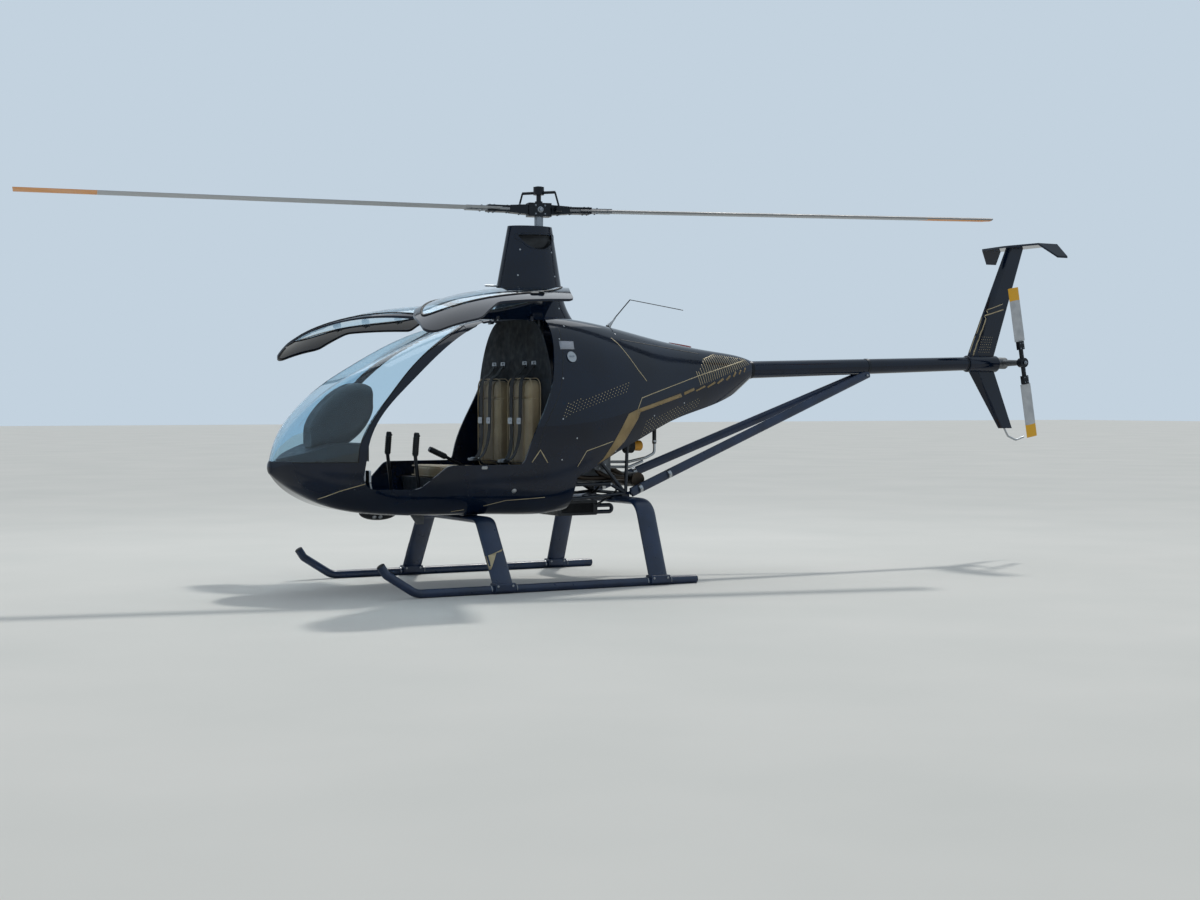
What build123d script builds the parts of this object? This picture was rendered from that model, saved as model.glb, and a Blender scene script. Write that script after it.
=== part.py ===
from build123d import *
from math import cos, radians, sin
import os

# A light two-seat helicopter, parked on its skids with both roof-hinged doors raised.
# Millimetres. Nose towards -X, starboard towards +Y, +Z up.
# The origin is on the ground under the main rotor mast.
os.makedirs("parts", exist_ok=True)

# Clearances
seat_gap = 0.3
door_gap = 6.0
pin_run = 0.05

# Skins of the cabin and the cowling
skin_wall = 12.0
glass_wall = 6.0
cowling_wall = 8.0

# Stations of the body: each row is one cross-section, flat under and over, elliptical between.
# x, bottom z, top z, half width, z of the widest point, half flat below, half flat above
hull_stations = [
    (-1760, 694, 774, 36, 732, 8, 8),
    (-1714, 646, 895, 118, 742, 30, 24),
    (-1634, 585, 1010, 221, 762, 70, 50),
    (-1450, 500, 1182, 308, 800, 130, 90),
    (-1220, 457, 1324, 413, 860, 200, 127),
    (-900, 443, 1486, 505, 920, 260, 169),
    (-450, 438, 1620, 545, 960, 290, 180),
    (0, 450, 1642, 530, 985, 280, 165),
    (460, 640, 1585, 435, 1070, 200, 110),
    (860, 870, 1507, 300, 1180, 110, 65),
    (1290, 1075, 1447, 165, 1268, 45, 35),
    (1560, 1262, 1400, 72, 1331, 10, 10),
]
nose_limit = -1400
hull_reach = 800

# Lines that split the body, as seen from the side (x, z)
chin_front = (-1800, 770)
pillar_front = [(-1348, 765), (-1324, 902), (-1174, 1139), (-937, 1387), (-594, 1591), (-470, 1640)]
jamb_aft = [(-52, 1640), (-60, 1560), (-95, 1370), (-148, 1170), (-262, 960), (-309, 800)]
frame_foot_z = 800
frame_foot_x = -1318
sill_z = 618
sill_aft_x = -300
hull_aft_x = 20
over_roof = 1800
under_belly = 400
cowling_edge = [(20, 668), (100, 693), (239, 768), (466, 868), (834, 1007), (1112, 1077), (1560, 1242)]

# The doorway: its front and rear curves, and the corners of its stepped sill with their radii
doorway_front = [(-508, 1596), (-755, 1466), (-1045, 1225), (-1240, 1000), (-1302, 800)]
doorway_sill = [(-1322, 606), (-1000, 606), (-842, 744), (-368, 744)]
doorway_radii = [75, 80, 80, 45]
doorway_aft = [(-335, 850), (-275, 990), (-186, 1181), (-132, 1390), (-100, 1580), (-96, 1640)]
window_front = [(-1248, 850), (-1085, 1120), (-640, 1498)]
window_aft = [(-640, 1498), (-430, 1560), (-205, 1480), (-228, 1210), (-352, 985)]
window_low = [(-352, 985), (-520, 880), (-900, 826), (-1180, 800), (-1248, 850)]

# Roof spine and door hinges
spine_half = 248
hinge_y = 262
hinge_z = 1618
door_top_y = 264
hinge_xs = [-430, -200]
hinge_pin_r = 4.0
eye_r = 9.0
eye_half = 9.5
ear_nose_r = 6.5
ear_inner = 10
ear_outer = 22
left_open_deg = 78.0
right_open_deg = 72.0

# Mast fairing: z, x centre, half length, half width, for its flared foot and its straight tower
fairing_foot = [(1590, -40, 310, 138), (1700, -55, 245, 126), (1820, -68, 222, 116)]
fairing_tower = [(1820, -68, 222, 116), (2210, -63, 149, 88)]
fairing_wall = 6.0
fairing_seal = 0.3
pitot_z = 1835
scoop = [(-178, 2152), (59, 2160), (56, 2118), (12, 2076), (-88, 2074), (-150, 2112), (-178, 2152)]

# Cabin
bulkhead_x = -163
bulkhead_wall = 12
seat_front_x = -740
seat_top = 650
seat_drop = 20
pan_wall = 14
cushion_y = 215
cushion_half = 175
cushion_thick = 80
back_thick = 75
back_centre_z = 985
back_height = 560
pod_clear = 34
pod_rows = [
    (-1176, 1035, 1206, 150),
    (-1232, 930, 1228, 152),
    (-1330, 860, 1200, 150),
    (-1430, 835, 1118, 140),
    (-1500, 840, 1030, 112),
    (-1530, 852, 960, 70),
]
hood_side = [(-1760, 768), (-1450, 874), (-1238, 874), (-1238, 768)]
hood_half = 240
pedestal_x0, pedestal_x1, pedestal_half = -1400, -1235, 85
floor_z = 456
stick_y = 215

# Landing gear
track_half = 677
skid_r = 25.0
front_leg_x = -581
rear_leg_x = 470
front_bow_z = 414
rear_bow_z = 500
leg_chord = 130
leg_thick = 44
skid_tail_x = 740
toe_bends = [(-1130, 25), (-1312, 141)]
toe_tip = (-1346, 192)
toe_bend_rs = [120, 40]

# Engine bay
frame_r = 11.0
frame_half = 215
engine_front_x = 30
engine_aft_x = 455
engine_half = 110
engine_top = 860
mount_z = 600
barrel_z = 745
barrel_r = 52
barrel_end = 192
box_x0, box_x1, box_z0, box_half = 45, 330, 405, 165
filter_y, filter_z, cap_x0, cap_x1 = -168, 838, 582, 646
muffler_x, muffler_z, muffler_r, muffler_half = 612, 622, 46, 190

coolant_r = 9.0
hose_r, hose_top = 13.0, 985
coolant_routes = [
    ([(engine_aft_x - 6, -98, 735), (560, -150, 735), (660, -205, 762), (722, -205, 790),
      (722, -205, 850)], 28),
    ([(engine_aft_x - 6, -98, 703), (570, -150, 703), (668, -150, 738)], 25),
]

# Main rotor
mast_r = 28.0
gearbox_z0, gearbox_z1 = 1042, 1330
gearbox_half = 105
mast_hole_r = 58
blade_z = 2318
rotor_radius = 3140
rotor_azimuth = 167.3
precone_deg = 0.5
blade_chord = 180
blade_thick = 21
blade_root_r = 262
hub_half_long = 75
hub_half_wide = 45
hub_half_high = 42
grip_end_r = 335
doubler_r = 470
cap_z0, cap_z1 = 2412, 2462

# Tail
boom_x0, boom_z0, boom_r0 = 1560, 1331, 58
boom_x1, boom_z1, boom_r1 = 3453, 1392, 48
boom_inner_x = 700
boom_wall = 3.0
sleeve_x1 = 3725
sleeve_r = 60
upper_fin = [(1392, 3440, 3690), (2240, 3823, 3985)]
lower_fin = [(1392, 3440, 3690), (925, 3759, 3888)]
fin_thick = 30
stab_x0, stab_x1, stab_half, stab_thick = 3857, 4037, 300, 14
tail_hub_x, tail_hub_y, tail_hub_z = 3780, -230, 1399
tail_radius = 540
tail_lean_deg = 10.0
tail_chord = 95
tail_thick = 12
tail_shaft_r = 14.0


def hull_solid(inset):
    """The closed body form, every face moved in by the inset."""
    with BuildPart() as form:
        for x, bottom, top, half, wide, flat_low, flat_high in hull_stations:
            station = x + inset if x < nose_limit else x
            side = half - min(inset, 0.5 * half)
            low = bottom + min(inset, 0.3 * (wide - bottom))
            high = top - min(inset, 0.3 * (top - wide))
            quarters = [
                ((flat_low, wide), side - flat_low, wide - low, 270),
                ((flat_high, wide), side - flat_high, high - wide, 0),
                ((-flat_high, wide), side - flat_high, high - wide, 90),
                ((-flat_low, wide), side - flat_low, wide - low, 180),
            ]
            with BuildSketch(Plane.YZ.offset(station)):
                with BuildLine():
                    Line((-flat_low, low), (flat_low, low))
                    for centre, reach, rise, start in quarters:
                        EllipticalCenterArc(centre, reach, rise, start_angle=start, arc_size=90)
                    Line((flat_high, high), (-flat_high, high))
                make_face()
        loft()
    return form.part


def rods(links):
    """Round bars between pairs of points, added to the part being built."""
    for start, end, radius in links:
        run = Vector(*end) - Vector(*start)
        with BuildSketch(Plane(origin=start, z_dir=run)) as section:
            Circle(radius)
        extrude(section.sketch, amount=run.length)


def aerofoil(plane, lead, trail, thick):
    """A blade or fin section: elliptical nose, flat flanks, blunt trailing edge."""
    crest = lead + 0.3 * (trail - lead)
    edge = 0.06 * thick
    with BuildSketch(plane) as section:
        with BuildLine():
            EllipticalCenterArc((crest, 0), abs(crest - lead), thick / 2, start_angle=90, arc_size=180)
            Polyline((crest, -thick / 2), (trail, -edge), (trail, edge), (crest, thick / 2))
        make_face()
    return section.sketch


def door_outline(gap):
    """The door's outline from the side, inside the doorway by the gap."""
    front = [(x + 1.3 * gap, z - 1.0 * gap) for x, z in doorway_front]
    corners = [(x + side * gap, z + gap) for (x, z), side in zip(doorway_sill, (1, 0, 0, -1))]
    aft = [(x - gap, z) for x, z in doorway_aft]
    with BuildSketch(Plane.XZ) as outline:
        with BuildLine():
            Spline(*front)
            FilletPolyline(front[-1], *corners, aft[0], radius=doorway_radii)
            Spline(*aft)
            Polyline(aft[-1], (aft[-1][0], 1700), (front[0][0], 1700), front[0])
        make_face()
    return outline.sketch


def keep(part, name):
    part.label = name
    export_step(part, f"parts/{name}.step")


def keep_raised(part, sign, open_deg, name):
    """A door piece is made shut, then turned up about its hinge line."""
    hinge = Axis((0, sign * hinge_y, hinge_z), (1, 0, 0))
    keep(part.rotate(hinge, sign * open_deg), name)


outer_form = hull_solid(0)
skin_inner = hull_solid(skin_wall)
glass_inner = hull_solid(glass_wall)
cowling_inner = hull_solid(cowling_wall)
cabin_space = hull_solid(skin_wall + seat_gap)
seat_space = hull_solid(skin_wall + door_gap)
pod_space = hull_solid(pod_clear)

# Side outlines of the panels
doorway = door_outline(0)
frame_foot = (frame_foot_x, frame_foot_z)

with BuildSketch(Plane.XZ) as windshield_side:
    with BuildLine():
        Line(chin_front, pillar_front[0])
        Spline(*pillar_front)
        Polyline(pillar_front[-1], (pillar_front[-1][0], over_roof), (chin_front[0], over_roof),
                 chin_front)
    make_face()

with BuildSketch(Plane.XZ) as hull_side:
    with BuildLine():
        Polyline(chin_front, pillar_front[0], frame_foot, jamb_aft[-1], (sill_aft_x, sill_z),
                 (hull_aft_x, sill_z), (hull_aft_x, under_belly), (chin_front[0], under_belly), chin_front)
    make_face()

with BuildSketch(Plane.XZ) as frame_side:
    with BuildLine():
        Spline(*pillar_front)
        Polyline(pillar_front[-1], (pillar_front[-1][0], over_roof), (jamb_aft[0][0], over_roof),
                 jamb_aft[0])
        Spline(*jamb_aft)
        Polyline(jamb_aft[-1], frame_foot, pillar_front[0])
    make_face()

with BuildSketch(Plane.XZ) as cowling_side:
    with BuildLine():
        Polyline(jamb_aft[0], (jamb_aft[0][0], over_roof), (boom_x0, over_roof), cowling_edge[-1])
        Spline(*reversed(cowling_edge))
        Polyline(cowling_edge[0], (hull_aft_x, sill_z), (sill_aft_x, sill_z), jamb_aft[-1])
        Spline(*reversed(jamb_aft))
    make_face()

with BuildSketch(Plane.XZ) as window_side:
    with BuildLine():
        Spline(*window_front)
        Spline(*window_aft)
        Spline(*window_low)
    make_face()

# The painted lower hull, from the nose to the engine bay, its top edge cut by the two doorways
with BuildPart() as lower_hull:
    add(outer_form)
    add(skin_inner, mode=Mode.SUBTRACT)
    extrude(hull_side.sketch, amount=hull_reach, both=True, mode=Mode.INTERSECT)
    extrude(doorway, amount=hull_reach, both=True, mode=Mode.SUBTRACT)
keep(lower_hull.part, "lower_hull")

# The windscreen bubble, one sheet that wraps to the door pillars
with BuildPart() as windshield:
    add(outer_form)
    add(glass_inner, mode=Mode.SUBTRACT)
    extrude(windshield_side.sketch, amount=hull_reach, both=True, mode=Mode.INTERSECT)
keep(windshield.part, "windshield")

# Pillars, roof spine and the jambs behind the doors
with BuildPart() as cabin_frame:
    extrude(frame_side.sketch, amount=hull_reach, both=True)
    extrude(doorway, amount=hull_reach, both=True, mode=Mode.SUBTRACT)
    with BuildSketch(Plane.XZ):
        with Locations(((pillar_front[-1][0] + jamb_aft[0][0]) / 2, over_roof - 200)):
            Rectangle(jamb_aft[0][0] - pillar_front[-1][0] + 60, 400)
    extrude(amount=spine_half, both=True)
    extrude(cowling_side.sketch, amount=hull_reach, both=True, mode=Mode.SUBTRACT)
    add(outer_form, mode=Mode.INTERSECT)
    add(skin_inner, mode=Mode.SUBTRACT)
    add(windshield.part, mode=Mode.SUBTRACT)
keep(cabin_frame.part, "cabin_frame")

# The rear cowling, open below along its rising edge
with BuildPart() as rear_cowling:
    extrude(cowling_side.sketch, amount=hull_reach, both=True)
    add(outer_form, mode=Mode.INTERSECT)
    add(cowling_inner, mode=Mode.SUBTRACT)
    with BuildSketch(Plane.XY.offset(gearbox_z1)):
        Circle(mast_hole_r)
    extrude(amount=over_roof - gearbox_z1, mode=Mode.SUBTRACT)
keep(rear_cowling.part, "rear_cowling")

# The mast fairing, a hollow oval tower that flares into the roof and stands a thin seal above it
with BuildPart() as fairing_tower_form:
    for inset, mode in ((0, Mode.ADD), (fairing_wall, Mode.SUBTRACT)):
        for rows in (fairing_foot, fairing_tower):
            for z, centre, length, width in rows:
                with BuildSketch(Plane.XY.offset(z)):
                    with Locations((centre, 0)):
                        Ellipse(length - inset, width - inset)
            loft(mode=mode)
    with BuildSketch(Plane.XZ):
        with BuildLine():
            Polyline(*scoop[:2])
            Spline(*scoop[1:])
        make_face()
    extrude(amount=hull_reach, both=True, mode=Mode.SUBTRACT)
    add(outer_form, mode=Mode.SUBTRACT)
mast_fairing = Pos(0, 0, fairing_seal) * fairing_tower_form.part
keep(mast_fairing, "mast_fairing")

with BuildPart() as pitot_tube:
    rods([((-240, 0, pitot_z), (-372, 0, pitot_z), 6)])
    add(mast_fairing, mode=Mode.SUBTRACT)
    with BuildSketch(Plane.YZ.offset(-285)):
        with Locations((0, pitot_z)):
            Circle(40)
    extrude(amount=80, mode=Mode.SUBTRACT)
keep(pitot_tube.part, "pitot_tube")

# Doors
doors = [("left", -1, left_open_deg), ("right", 1, right_open_deg)]
for side, sign, open_deg in doors:
    with BuildPart() as door_shell:
        extrude(door_outline(door_gap), amount=hull_reach, both=True)
        with BuildSketch(Plane.XZ.offset(-sign * door_top_y)):
            with Locations((-760, 1100)):
                Rectangle(1600, 1400)
        extrude(amount=-sign * hull_reach, mode=Mode.INTERSECT)
        add(outer_form, mode=Mode.INTERSECT)
        add(skin_inner, mode=Mode.SUBTRACT)
        extrude(window_side.sketch, amount=hull_reach, both=True, mode=Mode.SUBTRACT)
        for x in hinge_xs:
            with BuildSketch(Plane.YZ.offset(x - ear_outer - 2)):
                with Locations((sign * hinge_y, hinge_z)):
                    Circle(ear_nose_r + 2)
            extrude(amount=2 * ear_outer + 4, mode=Mode.SUBTRACT)
            with BuildSketch(Plane.YZ.offset(x - eye_half)):
                with Locations((sign * hinge_y, hinge_z)):
                    Circle(eye_r)
                with Locations((sign * (hinge_y + 14), hinge_z - 18)):
                    Rectangle(24, 36)
                with Locations((sign * hinge_y, hinge_z)):
                    Circle(hinge_pin_r + pin_run, mode=Mode.SUBTRACT)
            extrude(amount=2 * eye_half)
    keep_raised(door_shell.part, sign, open_deg, f"{side}_door_shell")
    with BuildPart() as door_glass:
        extrude(window_side.sketch, amount=-sign * hull_reach)
        add(outer_form, mode=Mode.INTERSECT)
        add(glass_inner, mode=Mode.SUBTRACT)
    keep_raised(door_glass.part, sign, open_deg, f"{side}_door_glass")

# Hinge ears on the roof spine, each pair with its pin
with BuildPart() as door_hinges:
    for side, sign, open_deg in doors:
        for x in hinge_xs:
            for ear_x in (x - ear_outer, x + ear_inner):
                with BuildSketch(Plane.YZ.offset(ear_x)):
                    with Locations((sign * hinge_y, hinge_z)):
                        Circle(ear_nose_r)
                    with Locations((sign * (hinge_y - 17), hinge_z - 23)):
                        Rectangle(34, 60)
                extrude(amount=ear_outer - ear_inner)
            with BuildSketch(Plane.YZ.offset(x - ear_outer)):
                with Locations((sign * hinge_y, hinge_z)):
                    Circle(hinge_pin_r)
            extrude(amount=2 * ear_outer)
    add(outer_form, mode=Mode.SUBTRACT)
keep(door_hinges.part, "door_hinges")

# Bulkhead behind the seats
with BuildPart() as cabin_bulkhead:
    with BuildSketch(Plane.YZ.offset(bulkhead_x)):
        with Locations((0, 1000)):
            Rectangle(1400, 1500)
    extrude(amount=-bulkhead_wall)
    add(cabin_space, mode=Mode.INTERSECT)
keep(cabin_bulkhead.part, "cabin_bulkhead")

# Seat pan and its front riser, one bent sheet across the cabin
seat_back_x = bulkhead_x - bulkhead_wall - seat_gap
seat_back_z = seat_top - seat_drop
with BuildPart() as seat_pan:
    with BuildSketch(Plane.XZ):
        with BuildLine():
            Polyline((seat_front_x, under_belly), (seat_front_x, seat_top), (seat_back_x, seat_back_z),
                     (seat_back_x, seat_back_z - pan_wall), (seat_front_x + pan_wall, seat_top - pan_wall),
                     (seat_front_x + pan_wall, under_belly), close=True)
        make_face()
    extrude(amount=hull_reach, both=True)
    add(seat_space, mode=Mode.INTERSECT)
keep(seat_pan.part, "seat_pan")

# Cushions, plain closed pads
cushion_x0 = seat_front_x + 15
cushion_x1 = seat_back_x - back_thick - 8
pan_fall = seat_drop / (seat_back_x - seat_front_x)
with BuildPart() as seat_cushions:
    for sign in (-1, 1):
        with BuildSketch(Plane.XZ.offset(-sign * cushion_y)):
            with BuildLine():
                low_front = seat_top + seat_gap - pan_fall * (cushion_x0 - seat_front_x)
                low_back = low_front - pan_fall * (cushion_x1 - cushion_x0)
                Polyline((cushion_x0, low_front), (cushion_x0, low_front + cushion_thick),
                         (cushion_x1, low_back + cushion_thick), (cushion_x1, low_back), close=True)
            make_face()
        extrude(amount=cushion_half, both=True)
keep(seat_cushions.part, "seat_cushions")

with BuildPart() as back_cushions:
    for sign in (-1, 1):
        with BuildSketch(Plane.YZ.offset(seat_back_x)):
            with Locations((sign * cushion_y, back_centre_z)):
                RectangleRounded(2 * cushion_half, back_height, 60)
        extrude(amount=-back_thick)
keep(back_cushions.part, "back_cushions")

# Domed instrument pod on its sloping hood and pedestal, under the windscreen
with BuildPart() as instrument_pod:
    for x, low, high, half in pod_rows:
        with BuildSketch(Plane.YZ.offset(x)):
            with Locations((0, (low + high) / 2)):
                RectangleRounded(2 * half, high - low, 0.3 * min(2 * half, high - low))
    loft()
    with BuildSketch(Plane.XZ):
        with BuildLine():
            Polyline(*hood_side, close=True)
        make_face()
    extrude(amount=hood_half, both=True)
    add(pod_space, mode=Mode.INTERSECT)
    with BuildSketch(Plane.XY.offset(under_belly)):
        with Locations(((pedestal_x0 + pedestal_x1) / 2, 0)):
            Rectangle(pedestal_x1 - pedestal_x0, 2 * pedestal_half)
    extrude(amount=hood_side[0][1] + 20 - under_belly)
    add(cabin_space, mode=Mode.INTERSECT)
keep(instrument_pod.part, "instrument_pod")

# Flight controls: a stick for each seat and a lever between the seats
with BuildPart() as flight_controls:
    for sign in (-1, 1):
        y = sign * stick_y
        rods([((-900, y, floor_z), (-900, y, floor_z + 45), 24),
              ((-900, y, floor_z + 40), (-935, y, 800), 11),
              ((-935, y, 795), (-925, y, 925), 17)])
    rods([((-420, 0, seat_top - 5), (-440, 0, seat_top + 40), 20),
          ((-440, 0, seat_top + 30), (-640, 0, seat_top + 130), 10),
          ((-640, 0, seat_top + 130), (-750, 0, seat_top + 180), 16)])
    add(seat_pan.part, mode=Mode.SUBTRACT)
keep(flight_controls.part, "flight_controls")

with BuildPart() as pedals:
    for sign in (-1, 1):
        rods([((-1240, sign * 188, 470), (-1240, sign * 188, 560), 11),
              ((-1240, sign * 180, 555), (-1240, sign * 320, 555), 9),
              ((-1240, sign * 215, 555), (-1262, sign * 215, 668), 8),
              ((-1240, sign * 300, 555), (-1262, sign * 300, 668), 8)])
        for y in (215, 300):
            with BuildSketch(Plane.YZ.offset(-1272)):
                with Locations((sign * y, 680)):
                    RectangleRounded(56, 74, 10)
            extrude(amount=12)
    add(cabin_space, mode=Mode.INTERSECT)
keep(pedals.part, "pedals")

# Landing gear: two bowed legs of streamlined section over two round skid tubes
bows = [
    ("front_gear_bow", front_leg_x, front_bow_z, 430, 70),
    ("rear_gear_bow", rear_leg_x, rear_bow_z, 500, 120),
]
for name, leg_x, bow_z, bend_y, bend_r in bows:
    with BuildPart() as bow:
        with BuildLine(Plane.YZ.offset(leg_x)) as path:
            FilletPolyline((track_half, skid_r + 20), (bend_y, bow_z), (-bend_y, bow_z),
                           (-track_half, skid_r + 20), radius=bend_r)
        with BuildSketch(Plane(origin=path.line @ 0, x_dir=(1, 0, 0), z_dir=path.line % 0)):
            Ellipse(leg_chord / 2, leg_thick / 2)
        sweep()
        for sign in (-1, 1):
            with BuildSketch(Plane.YZ.offset(leg_x - leg_chord / 2)):
                with Locations((sign * track_half, skid_r + 12)):
                    RectangleRounded(2 * skid_r + 22, 50, 10)
            extrude(amount=leg_chord)
            with BuildSketch(Plane.YZ.offset(leg_x - leg_chord)):
                with Locations((sign * track_half, skid_r)):
                    Circle(skid_r + seat_gap)
            extrude(amount=2 * leg_chord, mode=Mode.SUBTRACT)
        if name == "front_gear_bow":
            for sign in (-1, 1):
                with BuildSketch(Plane.XY.offset(bow_z)):
                    with Locations((leg_x, sign * 200)):
                        Rectangle(leg_chord - 40, 60)
                extrude(amount=60)
            add(outer_form, mode=Mode.SUBTRACT)
    keep(bow.part, name)

for side, sign in (("left", -1), ("right", 1)):
    with BuildPart() as skid:
        with BuildLine(Plane.XZ.offset(-sign * track_half)) as path:
            FilletPolyline((skid_tail_x, skid_r), *toe_bends, toe_tip, radius=toe_bend_rs)
        with BuildSketch(Plane(origin=path.line @ 0, z_dir=path.line % 0)):
            Circle(skid_r)
        sweep()
    keep(skid.part, f"skid_{side}")

# The boom is a long cone that runs forward into the engine bay
boom_slope = (boom_z1 - boom_z0) / (boom_x1 - boom_x0)
boom_taper = (boom_r1 - boom_r0) / (boom_x1 - boom_x0)
boom_dir = Vector(boom_x1 - boom_x0, 0, boom_z1 - boom_z0).normalized()


def boom_cone(x0, x1, grow):
    """A length of the boom's own cone, grown all round."""
    with BuildPart() as cone:
        for x in (x0, x1):
            centre = (x, 0, boom_z0 + boom_slope * (x - boom_x0))
            with BuildSketch(Plane(origin=centre, z_dir=boom_dir)):
                Circle(boom_r0 + boom_taper * (x - boom_x0) + grow)
        loft()
    return cone.part


with BuildPart() as tail_boom:
    add(boom_cone(boom_inner_x, boom_x1, 0))
    add(boom_cone(boom_inner_x - 20, boom_x1 - 10, -boom_wall), mode=Mode.SUBTRACT)
keep(tail_boom.part, "tail_boom")

# Engine bay frame: joints of the round tubes on one side, x, half width y, z
joints = {
    "wall_low": (bulkhead_x + seat_gap, frame_half, 540),
    "wall_high": (bulkhead_x + seat_gap, frame_half, 650),
    "low_front": (60, frame_half, 508),
    "bow": (505, frame_half, rear_bow_z + leg_thick / 2 + frame_r + 4),
    "engine_rear": (engine_aft_x - 60, frame_half, mount_z),
    "rear_post": (517, frame_half, engine_top - 8),
    "side": (320, frame_half, 745),
    "mount": (60, frame_half, mount_z),
    "gear_front": (0, 88, gearbox_z0 - seat_gap),
    "gear_rear": (70, 80, gearbox_z0 - seat_gap),
    "boom": (735, 45, 1262),
}
side_tubes = [
    ("wall_low", "low_front"), ("wall_high", "mount"), ("low_front", "bow"), ("mount", "engine_rear"),
    ("engine_rear", "bow"), ("low_front", "mount"), ("mount", "side"), ("side", "bow"), ("bow", "rear_post"),
    ("side", "rear_post"), ("mount", "gear_front"), ("rear_post", "gear_rear"), ("rear_post", "boom"),
]
ball_joints = ["low_front", "bow", "rear_post", "side", "mount", "engine_rear"]
cross_tubes = ["low_front", "mount", "engine_rear", "bow", "rear_post"]


def joint_at(name, sign):
    x, y, z = joints[name]
    return (x, sign * y, z)


with BuildPart() as engine_frame:
    for sign in (-1, 1):
        rods([(joint_at(a, sign), joint_at(b, sign), frame_r) for a, b in side_tubes])
        for name in ball_joints:
            with Locations(joint_at(name, sign)):
                Sphere(frame_r + 0.5)
    rods([(joint_at(name, -1), joint_at(name, 1), frame_r) for name in cross_tubes])
    for sign in (-1, 1):
        with BuildSketch(Plane.XZ.offset(-sign * frame_half - 18)):
            with Locations((joints["bow"][0] - 10, rear_bow_z + 14)):
                Rectangle(56, 40)
        extrude(amount=36)
    with BuildSketch(Plane.XZ):
        with Locations((rear_leg_x, rear_bow_z)):
            Ellipse(leg_chord / 2 + seat_gap, leg_thick / 2 + seat_gap)
    extrude(amount=2 * frame_half, both=True, mode=Mode.SUBTRACT)
    add(boom_cone(boom_inner_x + 5, boom_inner_x + 70, 12))
    add(boom_cone(boom_inner_x - 20, boom_inner_x + 90, seat_gap), mode=Mode.SUBTRACT)
    with BuildSketch(Plane.XY.offset(gearbox_z0 - seat_gap)):
        with Locations((0, 0)):
            Rectangle(400, 400)
    extrude(amount=60, mode=Mode.SUBTRACT)
    with BuildSketch(Plane.YZ.offset(bulkhead_x - 60)):
        with Locations((0, 600)):
            Rectangle(600, 400)
    extrude(amount=60 + seat_gap, mode=Mode.SUBTRACT)
keep(engine_frame.part, "engine_frame")

# Flat-four engine: crankcase, finned barrels and the intake box on top
engine_low = mount_z + frame_r + seat_gap
with BuildPart() as engine_block:
    with BuildSketch(Plane.XZ):
        with Locations(((engine_front_x + engine_aft_x) / 2, (engine_low + engine_top) / 2)):
            RectangleRounded(engine_aft_x - engine_front_x, engine_top - engine_low, 30)
    extrude(amount=engine_half, both=True)
    for sign in (-1, 1):
        for x in (150, 330):
            steps = [(engine_half - 5, barrel_end, barrel_r), (barrel_end - 22, barrel_end, barrel_r + 8)]
            for y0, y1, r in steps:
                with BuildSketch(Plane.XZ.offset(-sign * y0)):
                    with Locations((x, barrel_z)):
                        Circle(r)
                extrude(amount=-sign * (y1 - y0))
            for step in range(5):
                with BuildSketch(Plane.XZ.offset(-sign * (engine_half + 6 + 10 * step))):
                    with Locations((x, barrel_z)):
                        Circle(barrel_r + 8)
                extrude(amount=-sign * 4)
    with BuildSketch(Plane.XY.offset(engine_top - 5)):
        with Locations((240, 0)):
            RectangleRounded(300, 120, 30)
    extrude(amount=70)
keep(engine_block.part, "engine_block")

# Main gearbox that carries the mast
with BuildPart() as main_gearbox:
    with BuildSketch(Plane.XY.offset(gearbox_z0)):
        RectangleRounded(2 * gearbox_half, 2 * gearbox_half, 25)
    extrude(amount=140)
    with BuildSketch(Plane.XY.offset(gearbox_z0 + 140)):
        Circle(80)
    extrude(amount=gearbox_z1 - gearbox_z0 - 140, taper=8)
    with BuildSketch(Plane.XY.offset(gearbox_z0 + 60)):
        Circle(mast_r + pin_run)
    extrude(amount=gearbox_z1 - gearbox_z0, mode=Mode.SUBTRACT)
keep(main_gearbox.part, "main_gearbox")

# Radiator case under the engine with its two loop pipes
with BuildPart() as radiator_case:
    with BuildSketch(Plane.XZ):
        with Locations(((box_x0 + box_x1) / 2, (box_z0 + joints["low_front"][2] - frame_r - seat_gap) / 2)):
            RectangleRounded(box_x1 - box_x0, joints["low_front"][2] - frame_r - seat_gap - box_z0, 12)
    extrude(amount=box_half, both=True)
    with BuildSketch(Plane.XZ.offset(box_half - 12)):
        with Locations(((box_x0 + box_x1) / 2, 450)):
            Rectangle(box_x1 - box_x0 - 60, 60)
    extrude(amount=20, mode=Mode.SUBTRACT)
keep(radiator_case.part, "radiator_case")

with BuildPart() as radiator_loops:
    for y in (-110, 110):
        with BuildLine(Plane.XZ.offset(-y)) as path:
            FilletPolyline((box_x1, 462), (462, 462), (462, 420), (box_x1, 420), radius=20)
        with BuildSketch(Plane(origin=path.line @ 0, z_dir=path.line % 0)):
            Circle(13)
        sweep()
keep(radiator_loops.part, "radiator_loops")

# Exhaust: two pipes into a cross-mounted silencer with a tail pipe
with BuildPart() as exhaust_muffler:
    with BuildSketch(Plane.XZ.offset(-muffler_half)):
        with Locations((muffler_x, muffler_z)):
            Circle(muffler_r)
    extrude(amount=2 * muffler_half)
    for y in (-60, 60):
        rods([((engine_aft_x + seat_gap, y, 700), (engine_aft_x + 20, y, 700), 20),
              ((engine_aft_x + 14, y, 700), (muffler_x, y, muffler_z), 18)])
    rods([((muffler_x, 150, muffler_z), (muffler_x + 130, 150, muffler_z - 40), 20)])
keep(exhaust_muffler.part, "exhaust_muffler")

# Air filter on the rear cross tube, with its coloured end cap
with BuildPart() as air_filter:
    filter_x0 = joints["rear_post"][0] + frame_r + seat_gap
    rods([((filter_x0, filter_y, filter_z), (cap_x0, filter_y, filter_z), 26)])
keep(air_filter.part, "air_filter")

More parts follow.
